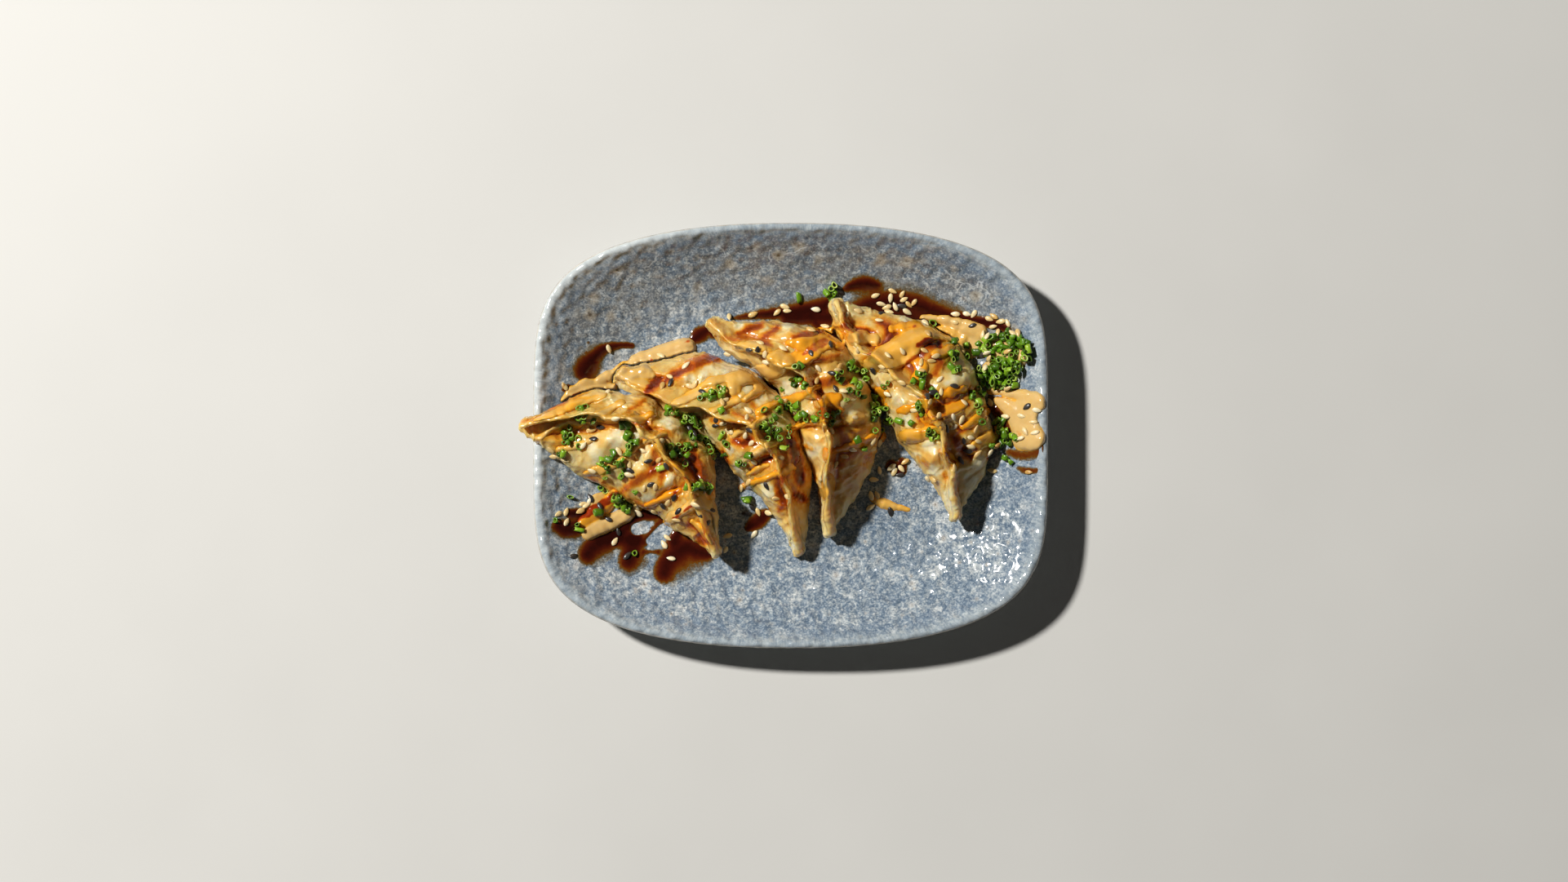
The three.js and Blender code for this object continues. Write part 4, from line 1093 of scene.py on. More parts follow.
BLACK = {
    "a": [(578, 378, 0), (535, 455, 0), (905, 607, -10), (1025, 640, 60), (780, 670, 30), (918, 765, -30), (1078, 855, -60),
          (1003, 912, 60), (1105, 942, -45), (1245, 968, 40), (1337, 935, 20), (637, 998, 30), (703, 1085, 75),
          (577, 908, 60), (397, 1245, -15), (760, 1245, -45), (1187, 385, 60), (1212, 415, 60), (1305, 1022, -40),
          (515, 858, 60)],
    "b": [(383, 268, -60), (573, 322, 20), (663, 500, -70), (655, 535, -10), (866, 562, 20), (968, 903, 60),
          (850, 1072, 0), (885, 1035, 50)],
    "c": [(310, 270, 10), (365, 275, -80), (692, 287, 60), (815, 235, 80), (845, 508, 60), (820, 412, 10), (1177, 1258, 80)],
    "d": [(500, 100, 10), (375, 145, 0), (322, 500, 60), (822, 590, 10), (655, 655, -80), (690, 630, -15), (775, 855, 80),
          (880, 930, 70), (905, 990, 10), (427, 1358, 80), (490, 1135, 0), (860, 1045, 60), (125, 15, 20)],
    "r": [(283, 158, -15), (342, 362, -70), (650, 705, -40)],
}
# Chives: x, y, how many cut pieces lie there.
CHIVES = {
    "a": [(455, 260, 5), (465, 310, 3), (535, 338, 1), (352, 392, 2), (745, 335, 3), (200, 470, 3), (170, 515, 4), (380, 475, 6),
          (440, 510, 1), (318, 548, 2), (775, 435, 2), (800, 480, 4), (765, 545, 2), (655, 550, 2), (595, 605, 3),
          (660, 600, 2), (640, 655, 2), (720, 615, 3), (750, 700, 3), (612, 720, 1), (985, 655, 1), (1030, 510, 2),
          (1090, 540, 5), (1150, 530, 4), (1200, 465, 5), (1065, 570, 2), (1155, 625, 1), (1180, 785, 3), (1230, 780, 4),
          (1290, 775, 3), (735, 870, 6), (690, 845, 3), (770, 940, 1), (820, 815, 1), (375, 848, 1), (568, 950, 1),
          (285, 1005, 1), (435, 1050, 2), (1150, 290, 6), (1065, 250, 4), (1250, 345, 2), (1290, 500, 5), (1320, 560, 4),
          (595, 795, 2), (810, 1225, 1)],
    "b": [(580, 365, 2), (635, 350, 4), (710, 315, 3), (690, 440, 1), (710, 585, 2), (735, 635, 2), (820, 750, 3),
          (862, 715, 1), (715, 710, 1), (850, 985, 2), (1070, 310, 1), (955, 435, 1), (555, 512, 2), (510, 470, 4)],
    "c": [(618, 385, 2), (610, 450, 4), (665, 495, 2), (570, 600, 3), (620, 620, 2), (625, 670, 2), (670, 675, 2),
          (720, 690, 2), (770, 655, 2), (805, 710, 2), (838, 645, 2), (490, 580, 2), (485, 640, 2), (405, 720, 2),
          (450, 705, 1), (475, 680, 1), (475, 790, 4), (430, 760, 1), (550, 770, 3), (415, 820, 2), (535, 865, 2),
          (930, 380, 5), (985, 430, 6), (960, 500, 4), (925, 520, 1), (910, 575, 1), (850, 430, 4), (1010, 560, 1),
          (1070, 560, 2), (1070, 620, 5), (1085, 660, 3), (1085, 765, 1), (1125, 760, 1), (978, 822, 1), (1020, 880, 1),
          (1160, 630, 2), (1190, 690, 4)],
    "d": [(815, 330, 2), (800, 390, 4), (825, 490, 4), (410, 590, 2), (620, 540, 4), (570, 565, 1), (690, 205, 1),
          (490, 800, 2), (560, 815, 1), (600, 700, 1), (625, 730, 2), (695, 630, 2), (700, 870, 6), (925, 650, 3),
          (975, 640, 3), (960, 720, 3), (970, 750, 1), (990, 810, 1), (1040, 955, 2)],
    "r": [(245, 283, 2), (165, 380, 2), (240, 358, 2), (330, 280, 2), (310, 340, 1), (355, 320, 2), (385, 275, 3),
          (415, 240, 1), (430, 325, 2), (475, 310, 4), (515, 250, 5), (570, 260, 5), (650, 265, 3), (660, 320, 4),
          (690, 370, 3), (565, 320, 2), (570, 360, 1), (625, 380, 1), (600, 430, 2), (450, 395, 5), (500, 390, 5),
          (545, 405, 5), (430, 470, 6), (480, 450, 5), (510, 490, 7), (450, 520, 6), (540, 540, 5), (565, 470, 3), (390, 490, 3),
          (330, 490, 5), (350, 540, 3), (570, 905, 2), (765, 865, 3), (480, 820, 3), (510, 930, 4), (515, 1055, 2), (500, 880, 3)],
    "t": [(540, 95, 2), (540, 120, 3), (415, 143, 1)],
}


# ------------------------------------------------------------------ materials
def lin(h):
    h = h.lstrip("#")
    c = [int(h[i : i + 2], 16) / 255 for i in (0, 2, 4)]
    return tuple((x / 12.92 if x <= 0.04045 else ((x + 0.055) / 1.055) ** 2.4) for x in c) + (1.0,)


class Mat:
    """A small helper for node materials; coordinates are metres in the row frame."""

    def __init__(self, name):
        self.m = bpy.data.materials.new(name)
        self.m.use_nodes = True
        self.t = self.m.node_tree
        self.p = self.t.nodes["Principled BSDF"]
        self.co = self.n("ShaderNodeTexCoord").outputs["Object"]

    def n(self, kind, **kw):
        x = self.t.nodes.new(kind)
        for k, v in kw.items():
            setattr(x, k, v)
        return x

    def put(self, sock, v):
        if isinstance(v, bpy.types.NodeSocket):
            self.t.links.new(v, sock)
        elif isinstance(v, str):
            sock.default_value = lin(v)
        else:
            sock.default_value = v

    def math(self, op, a, b=0.0, c=None, clamp=False):
        x = self.n("ShaderNodeMath", operation=op, use_clamp=clamp)
        self.put(x.inputs[0], a)
        self.put(x.inputs[1], b)
        if c is not None:
            self.put(x.inputs[2], c)
        return x.outputs[0]

    def add(self, a, b):
        return self.math("ADD", a, b)

    def sub(self, a, b):
        return self.math("SUBTRACT", a, b)

    def mul(self, a, b):
        return self.math("MULTIPLY", a, b)

    def mix(self, f, a, b, blend="MIX"):
        x = self.n("ShaderNodeMix", data_type="RGBA", blend_type=blend)
        self.put(x.inputs[0], f)
        self.put(x.inputs[6], a)
        self.put(x.inputs[7], b)
        return x.outputs[2]

    def noise(self, scale, detail=2.0, rough=0.5, dist=0.0, vec=None):
        x = self.n("ShaderNodeTexNoise")
        self.put(x.inputs["Vector"], self.co if vec is None else vec)
        self.put(x.inputs["Scale"], scale)
        self.put(x.inputs["Detail"], detail)
        self.put(x.inputs["Roughness"], rough)
        self.put(x.inputs["Distortion"], dist)
        return x.outputs["Fac"]

    def noise3(self, scale, vec=None):
        x = self.n("ShaderNodeTexNoise")
        self.put(x.inputs["Vector"], self.co if vec is None else vec)
        self.put(x.inputs["Scale"], scale)
        self.put(x.inputs["Detail"], 2.0)
        return x.outputs["Color"]

    def voro(self, scale, feature="F1", rand=1.0, vec=None):
        x = self.n("ShaderNodeTexVoronoi", feature=feature)
        self.put(x.inputs["Vector"], self.co if vec is None else vec)
        self.put(x.inputs["Scale"], scale)
        self.put(x.inputs["Randomness"], rand)
        return x

    def attr(self, name):
        return self.n("ShaderNodeAttribute", attribute_name=name).outputs["Fac"]

    def step(self, v, a, b, lo=0.0, hi=1.0):
        x = self.n("ShaderNodeMapRange", interpolation_type="SMOOTHSTEP", clamp=True)
        self.put(x.inputs["Value"], v)
        for k, q in (("From Min", a), ("From Max", b), ("To Min", lo), ("To Max", hi)):
            self.put(x.inputs[k], q)
        return x.outputs["Result"]

    def ramp(self, v, stops):
        x = self.n("ShaderNodeValToRGB")
        self.put(x.inputs[0], v)
        e = x.color_ramp.elements
        while len(e) < len(stops):
            e.new(0.5)
        for k, (p, c) in enumerate(stops):
            e[k].position = p
            e[k].color = lin(c)
        return x.outputs["Color"]

    def warp(self, scale, amount):
        """Coordinates pushed about by noise; amount in metres."""
        s = self.n("ShaderNodeVectorMath", operation="SUBTRACT")
        self.put(s.inputs[0], self.noise3(scale))
        s.inputs[1].default_value = (0.5, 0.5, 0.5)
        k = self.n("ShaderNodeVectorMath", operation="SCALE")
        self.put(k.inputs[0], s.outputs[0])
        k.inputs["Scale"].default_value = amount
        a = self.n("ShaderNodeVectorMath", operation="ADD")
        self.put(a.inputs[0], self.co)
        self.put(a.inputs[1], k.outputs[0])
        return a.outputs[0]

    def bump(self, h, dist, strength=1.0, normal=None):
        x = self.n("ShaderNodeBump")
        self.put(x.inputs["Height"], h)
        x.inputs["Distance"].default_value = dist
        x.inputs["Strength"].default_value = strength
        if normal is not None:
            self.put(x.inputs["Normal"], normal)
        return x.outputs["Normal"]

    def set(self, **kw):
        for k, v in kw.items():
            self.put(self.p.inputs[k.replace("_", " ")], v)
        return self.m

    def line(self, v, level, width):
        """1 on a thin contour line of v, 0 elsewhere."""
        return self.step(self.math("ABSOLUTE", self.sub(v, level)), width, width * 0.25)


def plate_material():
    m = Mat("reactive_glaze")
    share, und = m.attr("share"), m.attr("under")
    sep = m.n("ShaderNodeSeparateXYZ")
    m.put(sep.inputs[0], m.co)
    y, z = sep.outputs[1], sep.outputs[2]
    w = m.warp(900, 0.0005)
    big = m.noise(120, 2, 0.5)
    mid = m.noise(330, 3, 0.6, 0.4)
    fine = m.noise(1500, 2, 0.6, 0.5)
    rag = m.sub(m.noise(620, 2, 0.6, 0.0, w), 0.5)

    def cells(scale, seed, reach, core, ragged, lo, hi):
        off = m.n("ShaderNodeVectorMath", operation="ADD")
        m.put(off.inputs[0], w)
        off.inputs[1].default_value = (seed, seed * 0.7, 0.0)
        vo = m.voro(scale, "F1", 1.0, off.outputs[0])
        rnd = m.n("ShaderNodeSeparateXYZ")
        m.put(rnd.inputs[0], vo.outputs["Color"])
        d = m.add(vo.outputs["Distance"], m.mul(rag, ragged))
        return m.mul(m.step(d, reach, core), m.step(rnd.outputs[0], lo, hi)), vo.outputs["Distance"], rnd

    f1, d1, r1 = cells(150, 0.0, 0.66, 0.10, 0.55, 0.05, 0.45)
    f2, d2, r2 = cells(250, 1.7, 0.60, 0.08, 0.50, 0.25, 0.65)
    pale = m.math("MAXIMUM", m.mul(f1, 0.90), m.mul(f2, 0.60))
    spots = m.add(m.mul(m.sub(m.noise(720, 1.5, 0.55, 0.3, w), 0.5), 1.55), m.mul(m.sub(fine, 0.5), 1.25))
    tone = m.add(m.mul(pale, 0.52), spots)
    tone = m.add(tone, m.add(m.mul(m.sub(big, 0.5), 0.25), m.mul(m.sub(mid, 0.5), 0.30)))
    # a little paler towards the left, most of all up its slope: partly the glaze, partly painted light
    left = m.step(sep.outputs[0], -0.005, -0.060)
    slope = m.mul(m.step(share, 0.62, 0.84), m.step(sep.outputs[0], -0.040, -0.075))
    tone = m.add(tone, m.add(m.mul(left, 0.09), m.mul(slope, 0.12)))
    col = m.ramp(m.add(tone, 0.30), [(0.0, "#617385"), (0.30, "#8392A0"), (0.55, "#A1ABB1"), (0.80, "#BFC6C8"), (1.0, "#D4D8D7")])
    # short dark squiggles all over
    l1 = m.step(m.math("ABSOLUTE", m.sub(m.noise(500, 0.8, 0.5, 0.35), 0.5)), 0.090, 0.0)
    l2 = m.step(m.math("ABSOLUTE", m.sub(m.noise(850, 0.8, 0.5, 0.3), 0.5)), 0.095, 0.0)
    vein = m.math("MAXIMUM", l1, m.mul(l2, 0.95))
    strength = m.step(m.add(m.mul(m.noise(520, 1.5, 0.5), 0.7), m.mul(big, 0.3)), 0.40, 0.56, 0.25, 1.0)
    col = m.mix(m.mul(m.mul(vein, strength), m.step(pale, 0.0, 0.9, 0.82, 0.60)), col, "#54667A")
    # small brown eyes of the pale patches
    for dist, rnd, on, r in ((d1, r1, f1, 0.085), (d2, r2, f2, 0.10)):
        dd = m.add(dist, m.mul(m.sub(fine, 0.5), 0.10))
        eye = m.mul(m.mul(m.step(dd, r, r * 0.3), m.step(rnd.outputs[1], 0.35, 0.55)), on)
        ring = m.mul(m.mul(m.step(dd, r * 2.6, r), m.step(rnd.outputs[1], 0.35, 0.55)), on)
        col = m.mix(m.mul(ring, 0.40), col, "#B5A999")
        col = m.mix(m.mul(eye, 0.75), col, "#5E5245")
    # upper slope: browner and duller glaze, and darker as painted shade
    upper = m.mul(m.step(y, 0.006, 0.040), m.step(share, 0.56, 0.76))
    upper = m.mul(upper, m.step(share, 0.95, 0.90))
    brown = m.mul(upper, m.step(m.noise(190, 3, 0.6), 0.34, 0.60))
    col = m.mix(m.mul(upper, 0.30), col, "#6A747C")
    # painted shade: the upper wall, which faces away from the lamp, is painted darker
    wall = m.mul(m.step(share, 0.60, 0.86), m.step(m.sub(y, m.mul(sep.outputs[0], 0.35)), -0.010, 0.085))
    col = m.mix(m.mul(wall, 0.30), col, "#5F686E")
    col = m.mix(m.mul(brown, 0.42), col, "#877F72")

    grain = m.mul(upper, m.mul(vein, strength))
    col = m.mix(m.mul(grain, 0.55), col, "#48525C")
    col = m.mix(m.mul(m.mul(upper, m.step(spots, 0.02, 0.42)), 0.62), col, "#A9AEAD")
    # craters and a wandering pale line on the upper slope
    cv = m.voro(118, "F1", 0.95, m.warp(300, 0.0025))
    cd = cv.outputs["Distance"]
    cm = m.mul(upper, m.step(share, 0.68, 0.80))
    col = m.mix(m.mul(m.mul(m.step(cd, 0.36, 0.14), cm), 0.50), col, "#B3A78F")
    col = m.mix(m.mul(m.mul(m.step(cd, 0.13, 0.04), cm), 0.85), col, "#5A4C39")
    band = m.mul(m.step(share, 0.80, 0.84), m.step(share, 0.925, 0.90))
    ve = m.voro(62, "DISTANCE_TO_EDGE", 1.0, m.warp(220, 0.0060))
    ln = m.mul(m.step(ve.outputs["Distance"], 0.022, 0.008), m.step(m.noise(75, 1, 0.5), 0.46, 0.54))
    col = m.mix(m.mul(m.mul(m.mul(ln, band), m.step(y, 0.030, 0.050)), 0.60), col, "#C2C8CA")
    # rim, pale with short radial streaks
    ca, sa = m.attr("cosa"), m.attr("sina")
    comb = m.n("ShaderNodeCombineXYZ")
    m.put(comb.inputs[0], m.mul(ca, 130.0))
    m.put(comb.inputs[1], m.mul(sa, 130.0))
    m.put(comb.inputs[2], m.mul(share, 26.0))
    streak = m.noise(1.0, 3, 0.6, 0.0, comb.outputs[0])
    edge = m.add(share, m.mul(m.sub(streak, 0.5), 0.055))
    col = m.mix(m.mul(m.mul(m.step(edge, 0.880, 0.925), m.step(edge, 0.965, 0.935)), 0.28), col, "#6C7E92")
    grain = m.noise(1500, 1, 0.5)
    col = m.mix(m.mul(m.step(grain, 0.56, 0.68), 0.20), col, "#CDD5D8")
    col = m.mix(m.mul(m.step(grain, 0.44, 0.32), 0.30), col, "#46566A")
    rimcol = m.mix(m.step(streak, 0.32, 0.68), "#96A1A8", "#AEB8BC")
    rimcol = m.mix(m.mul(m.mul(vein, strength), 0.45), rimcol, "#7E8FA0")
    # painted light: the rim is painted paler on its upper-left side, which faces the lamp
    rimcol = m.mix(m.mul(m.step(m.sub(m.mul(y, 0.5), sep.outputs[0]), 0.045, 0.085), 0.70), rimcol, "#D6DCDB")
    col = m.mix(m.mul(m.step(edge, 0.930, 0.985), 0.85), col, rimcol)
    col = m.mix(m.mul(m.step(share, 0.991, 0.998), m.step(m.noise(300, 2), 0.35, 0.6, 0.25, 0.65)), col, "#B5A994")
    # underside and bare foot
    under_col = m.mix(m.step(mid, 0.35, 0.65), "#8B979C", "#A9B2B3")
    under_col = m.mix(m.mul(m.mul(vein, strength), 0.35), under_col, "#6F8193")
    under_col = m.mix(m.mul(m.step(m.noise(900, 2), 0.60, 0.70), 0.5), under_col, "#5F5548")
    foot = m.step(m.add(z, m.mul(m.sub(mid, 0.5), 0.0010)), 0.0009, 0.0006)
    clay = m.mix(m.noise(800, 3, 0.7), "#A38B70", "#C2AB8D")
    under_col = m.mix(m.mul(foot, und), under_col, clay)
    col = m.mix(und, col, under_col)
    rough = m.add(m.mul(m.noise(500, 2), 0.05), 0.085)
    rough = m.math("ADD", rough, m.mul(m.mul(foot, und), 0.5))
    calm = m.sub(1.0, m.mul(und, 0.8))
    nrm = m.bump(m.mul(m.noise(165, 0.0, 0.5), calm), 0.0004, 1.0)
    nrm = m.bump(m.mul(m.noise(340, 0.0, 0.5), calm), 0.0009, 1.0, nrm)
    nrm = m.bump(m.noise(480, 0.0, 0.5), 0.00010, 1.0, nrm)
    m.set(Base_Color=col, Roughness=rough, Normal=nrm)
    m.set(IOR=1.50)
    return m.m


def dough_material():
    m = Mat("gyoza_skin")
    stain_and_shade, toast_and_shade, cav, film, halo = (m.attr(k) for k in ("stain_and_shade", "toast_and_shade", "cav", "film", "halo"))
    pale = m.attr("pale")
    n1, n2, n3 = m.noise(150, 3, 0.55), m.noise(520, 3, 0.6, 0.5), m.noise(1700, 2, 0.6)
    t = m.add(toast_and_shade, m.mul(m.sub(n1, 0.5), 0.55))
    t = m.add(t, m.mul(m.sub(n2, 0.5), 0.50))
    t = m.add(m.mul(t, 0.72), m.sub(0.16, m.mul(pale, 0.34)))
    col = m.ramp(t, [(0.0, "#DDD0A8"), (0.18, "#DCC68C"), (0.38, "#D8B76E"), (0.56, "#CC9D4B"), (0.72, "#B77E32"),
                                  (0.84, "#9C6629"), (1.0, "#6B3E18")])
    speck = m.mul(m.step(n3, 0.60, 0.72), m.step(t, 0.25, 0.8))
    col = m.mix(m.mul(speck, 0.45), col, "#8E5320")
    # a film of sauce: wash, halo and places near the pale sauce, plus creases, whose darker amber is partly pooled
    # sauce and partly painted shade; then the marks themselves
    f = m.mul(m.step(m.noise(95, 3, 0.6, 0.5), 0.38, 0.62), 0.15)
    f = m.mul(m.add(f, 0.02), m.sub(1.0, m.mul(pale, 0.9)))
    # painted shade: the cavity measure (cav) turns creases a darker amber
    f = m.add(f, m.add(m.mul(halo, 0.26), m.mul(m.math("MAXIMUM", cav, 0.0), 0.22)))
    f = m.add(f, m.sub(m.mul(film, 0.20), m.mul(pale, 0.10)))
    s = m.add(stain_and_shade, m.mul(f, m.sub(1.0, m.mul(stain_and_shade, 1.1))))
    s = m.add(s, m.mul(m.sub(n2, 0.5), 0.20))
    s = m.add(s, m.mul(m.sub(n1, 0.52), 0.24))
    scol = m.ramp(s, [(0.10, "#DCB86C"), (0.28, "#D8A64A"), (0.44, "#D0902A"), (0.58, "#C4701A"), (0.70, "#A84C0E"), (0.82, "#78290B"), (0.96, "#42140C")])
    col = m.mix(m.step(s, 0.02, 0.42), col, scol)
    rough = m.add(m.mul(m.noise(700, 2), 0.22), m.step(s, 0.2, 0.7, 0.24, 0.10))
    nrm = m.bump(m.noise(420, 2, 0.55), 0.00026, 1.0)
    nrm = m.bump(m.noise(1100, 2, 0.6), 0.00006, 1.0, nrm)
    m.set(Base_Color=col, Roughness=rough, Normal=nrm, Coat_Normal=nrm)
    m.set(Subsurface_Weight=0.60, Subsurface_Radius=(1.0, 0.64, 0.30), Subsurface_Scale=0.0055)
    m.set(Coat_Weight=0.7, Coat_Roughness=0.07, IOR=1.42)
    return m.m


def mayo_material():
    m = Mat("pale_sauce")
    tone, streak, thick = m.attr("tone"), m.attr("streak"), m.attr("thick")
    n1, n2 = m.noise(260, 3, 0.55, 0.6), m.noise(900, 2, 0.6)
    t = m.add(tone, m.mul(m.sub(n1, 0.5), 0.40))
    t = m.add(t, m.step(thick, 0.7, 0.1, 0.0, 0.40))
    col = m.ramp(t, [(0.0, "#D3B070"), (0.22, "#DBAC52"), (0.48, "#E2A22C"), (0.78, "#E09010"), (1.0, "#CF7B0A")])
    s = m.add(streak, m.mul(m.sub(n1, 0.5), 0.5))
    scol = m.ramp(s, [(0.22, "#D07F1C"), (0.45, "#BE5A0C"), (0.70, "#94300A"), (1.0, "#4A130A")])
    col = m.mix(m.step(s, 0.18, 0.60), col, scol)
    nrm = m.bump(m.add(m.noise(240, 2), m.mul(n2, 0.25)), 0.00022, 1.0)
    m.set(Base_Color=col, Roughness=m.add(m.mul(n2, 0.10), 0.16), Normal=nrm, Coat_Normal=nrm)
    m.set(Subsurface_Weight=0.35, Subsurface_Radius=(1.0, 0.75, 0.35), Subsurface_Scale=0.0018)
    m.set(Coat_Weight=0.6, Coat_Roughness=0.06, IOR=1.42)
    return m.m


def glaze_material():
    m = Mat("dark_glaze")
    thick = m.attr("thick")
    n1, n2 = m.noise(300, 3, 0.6, 0.8), m.noise(1100, 3, 0.7, 0.6)
    t = m.add(thick, m.mul(m.sub(n1, 0.5), 0.14))
    t = m.add(t, m.mul(m.sub(n2, 0.5), m.step(thick, 0.5, 0.15, 0.10, 0.46)))
    col = m.ramp(m.mul(t, 1.6), [(0.0, "#706A44"), (0.16, "#6C5824"), (0.34, "#684410"), (0.50, "#5C2A0A"), (0.68, "#4A1708"), (0.85, "#3A0F08"), (1.0, "#2A0A06")])
    nrm = m.bump(m.noise(260, 2), 0.00012, 1.0)
    m.set(Base_Color=col, Roughness=m.add(m.mul(m.noise(800, 2), 0.06), 0.05), Normal=nrm,
          Alpha=m.step(t, -0.02, 0.30, 0.15, 1.0))
    m.set(IOR=1.36)
    return m.m


def white_seed_material():
    m = Mat("white_sesame")
    tone = m.attr("tone")
    n1, n2 = m.noise(420, 3, 0.6), m.noise(2200, 2)
    t = m.add(tone, m.mul(m.sub(n1, 0.5), 0.5))
    col = m.ramp(t, [(0.0, "#ECE1C0"), (0.35, "#DFC791"), (0.62, "#CDA962"), (0.85, "#AE7A34"), (1.0, "#875420")])
    nrm = m.bump(n2, 0.00004, 1.0)
    m.set(Base_Color=col, Roughness=m.add(m.mul(n2, 0.15), 0.32), Normal=nrm)
    m.set(Subsurface_Weight=0.25, Subsurface_Radius=(1.0, 0.7, 0.4), Subsurface_Scale=0.0008, Coat_Weight=0.25,
          Coat_Roughness=0.2)
    return m.m


def black_seed_material():
    m = Mat("black_sesame")
    n1, n2 = m.noise(700, 3, 0.6), m.noise(2400, 2)
    t = m.add(m.mul(m.attr("tone"), 0.6), m.mul(n1, 0.5))
    col = m.ramp(t, [(0.15, "#1B1A1B"), (0.5, "#302C2A"), (0.9, "#57514B")])
    m.set(Base_Color=col, Roughness=m.add(m.mul(n2, 0.2), 0.28), Normal=m.bump(n2, 0.00005, 1.0))
    m.set(Coat_Weight=0.3, Coat_Roughness=0.2)
    return m.m


def chive_material():
    m = Mat("chive")
    tone, part = m.attr("tone"), m.attr("part")
    n1, n2 = m.noise(380, 3, 0.6), m.noise(1500, 2)
    t = m.add(tone, m.mul(m.sub(n1, 0.5), 0.4))
    col = m.ramp(t, [(0.0, "#2C4808"), (0.3, "#48710C"), (0.6, "#6A9616"), (0.85, "#90B22C"), (1.0, "#B6C656")])
    inner = m.ramp(t, [(0.0, "#3E5F10"), (0.5, "#6A8B22"), (1.0, "#A8BA58")])
    rim = m.ramp(t, [(0.0, "#4E7012"), (0.5, "#86A52E"), (1.0, "#C2D078")])
    col = m.mix(m.step(part, 0.1, 0.5), col, rim)
    col = m.mix(m.step(part, 0.5, 0.9), col, inner)
    m.set(Base_Color=col, Roughness=m.add(m.mul(n2, 0.2), 0.26), Normal=m.bump(n1, 0.00006, 1.0))
    m.set(Subsurface_Weight=0.25, Subsurface_Radius=(0.6, 1.0, 0.25), Subsurface_Scale=0.0008, Coat_Weight=0.3,
          Coat_Roughness=0.15)
    return m.m


# ------------------------------------------------------------------- toppings
def unit(v):
    v = np.asarray(v, float)
    return v / (np.linalg.norm(v) + 1e-12)


def seed_mesh():
    nl, nr = 12, 12
    rings = []
    for u in np.linspace(0.004, 0.996, nl):
        w = np.sin(np.pi * u**0.80) ** 0.66
        th = np.sin(np.pi * u**0.82) ** 0.62
        a = np.arange(nr) * 2 * np.pi / nr
        c, s = np.cos(a), np.sin(a)
        rings.append(np.stack([np.full(nr, u - 0.45), 0.5 * w * np.sign(c) * np.abs(c) ** 0.85,
                               0.5 * th * np.sign(s) * np.abs(s) ** 1.05], 1))
    V = np.array(rings).reshape(-1, 3)
    F = grid_faces(nl, nr, True)
    c0, c1 = len(V), len(V) + 1
    V = np.vstack([V, [[-0.455, 0, 0], [0.552, 0, 0]]])
    return V, F, nl, nr, c0, c1


def scatter_seeds(name, table, Hc, rng, material, sink):
    V0, F0, nl, nr, c0, c1 = seed_mesh()
    Hs = blur(Hc, 2.2)
    verts, quads, tris, tones = [], [], [], []
    off = 0
    j = np.arange(nr)
    t0 = np.stack([np.full(nr, c0), (j + 1) % nr, j], 1)
    last = (nl - 1) * nr
    t1 = np.stack([np.full(nr, c1), last + j, last + (j + 1) % nr], 1)
    for win in sorted(table):
        for sx, sy, ang in table[win]:
            px, py = wpt(win, sx, sy)
            L = rng.uniform(2.85, 3.55)
            Wd, Th = L * rng.uniform(0.47, 0.56), L * rng.uniform(0.27, 0.33)
            x, y, z = drop_point(Hc, px, py)
            yaw = -math.radians(ang) + rng.normal(0, 0.06) + (math.pi if rng.rand() < 0.5 else 0)
            ax = np.array([math.cos(yaw), math.sin(yaw)])
            ac = np.array([-ax[1], ax[0]])
            q = [(0, 0), (1.3, 0), (-1.3, 0), (0, 0.7), (0, -0.7)]
            zz = np.array([float(sample(Hs, x + ax[0] * a + ac[0] * b, y + ax[1] * a + ac[1] * b)) for a, b in q])
            zr = np.array([float(sample(Hc, x + ax[0] * a + ac[0] * b, y + ax[1] * a + ac[1] * b)) for a, b in q])
            sa = np.clip((zz[1] - zz[2]) / 2.6, -0.9, 0.9)
            sb = np.clip((zz[3] - zz[4]) / 1.4, -0.8, 0.8)
            sa += rng.normal(0, 0.07)
            sb += rng.normal(0, 0.12)
            plane = np.array([sa * a + sb * b for a, b in q])
            lift = np.max(zr - plane) * 0.65 + np.mean(zr - plane) * 0.35
            ex = unit([ax[0], ax[1], sa])
            ey = np.array([ac[0], ac[1], sb])
            ey = unit(ey - ex * ey.dot(ex))
            ez = np.cross(ex, ey)
            P = V0 * [L, Wd, Th]
            P[:, 2] += 0.10 * (P[:, 0] / L) ** 2 * rng.uniform(-1, 1) * L
            c = np.array([x, y, lift + Th * 0.5 - sink])
            W3 = c + P[:, :1] * ex + P[:, 1:2] * ey + P[:, 2:] * ez
            # stays over the dish
            W3[:, 2] = np.maximum(W3[:, 2], dish_height(np.minimum(share_of(W3[:, 0], W3[:, 1]), 1.0)) - 0.1)
            verts.append(W3)
            quads.append(F0 + off)
            tris.append(np.vstack([t0, t1]) + off)
            off += len(V0)
            tones.append(np.full(len(V0), np.clip(rng.normal(0.36, 0.17), 0.02, 0.8)))
    V = np.vstack(verts)
    ob = make_object(name, V, np.vstack(quads), material, True, {"tone": np.concatenate(tones)})
    add_tris(ob, np.vstack(tris))
    return ob


def add_tris(ob, tris):
    import bmesh
    bm = bmesh.new()
    bm.from_mesh(ob.data)
    bm.verts.ensure_lookup_table()
    vs = bm.verts
    for a, b, c in tris.tolist():
        f = bm.faces.new((vs[a], vs[b], vs[c]))
        f.smooth = True
    bm.normal_update()
    bmesh.ops.recalc_face_normals(bm, faces=bm.faces)
    bm.to_mesh(ob.data)
    bm.free()


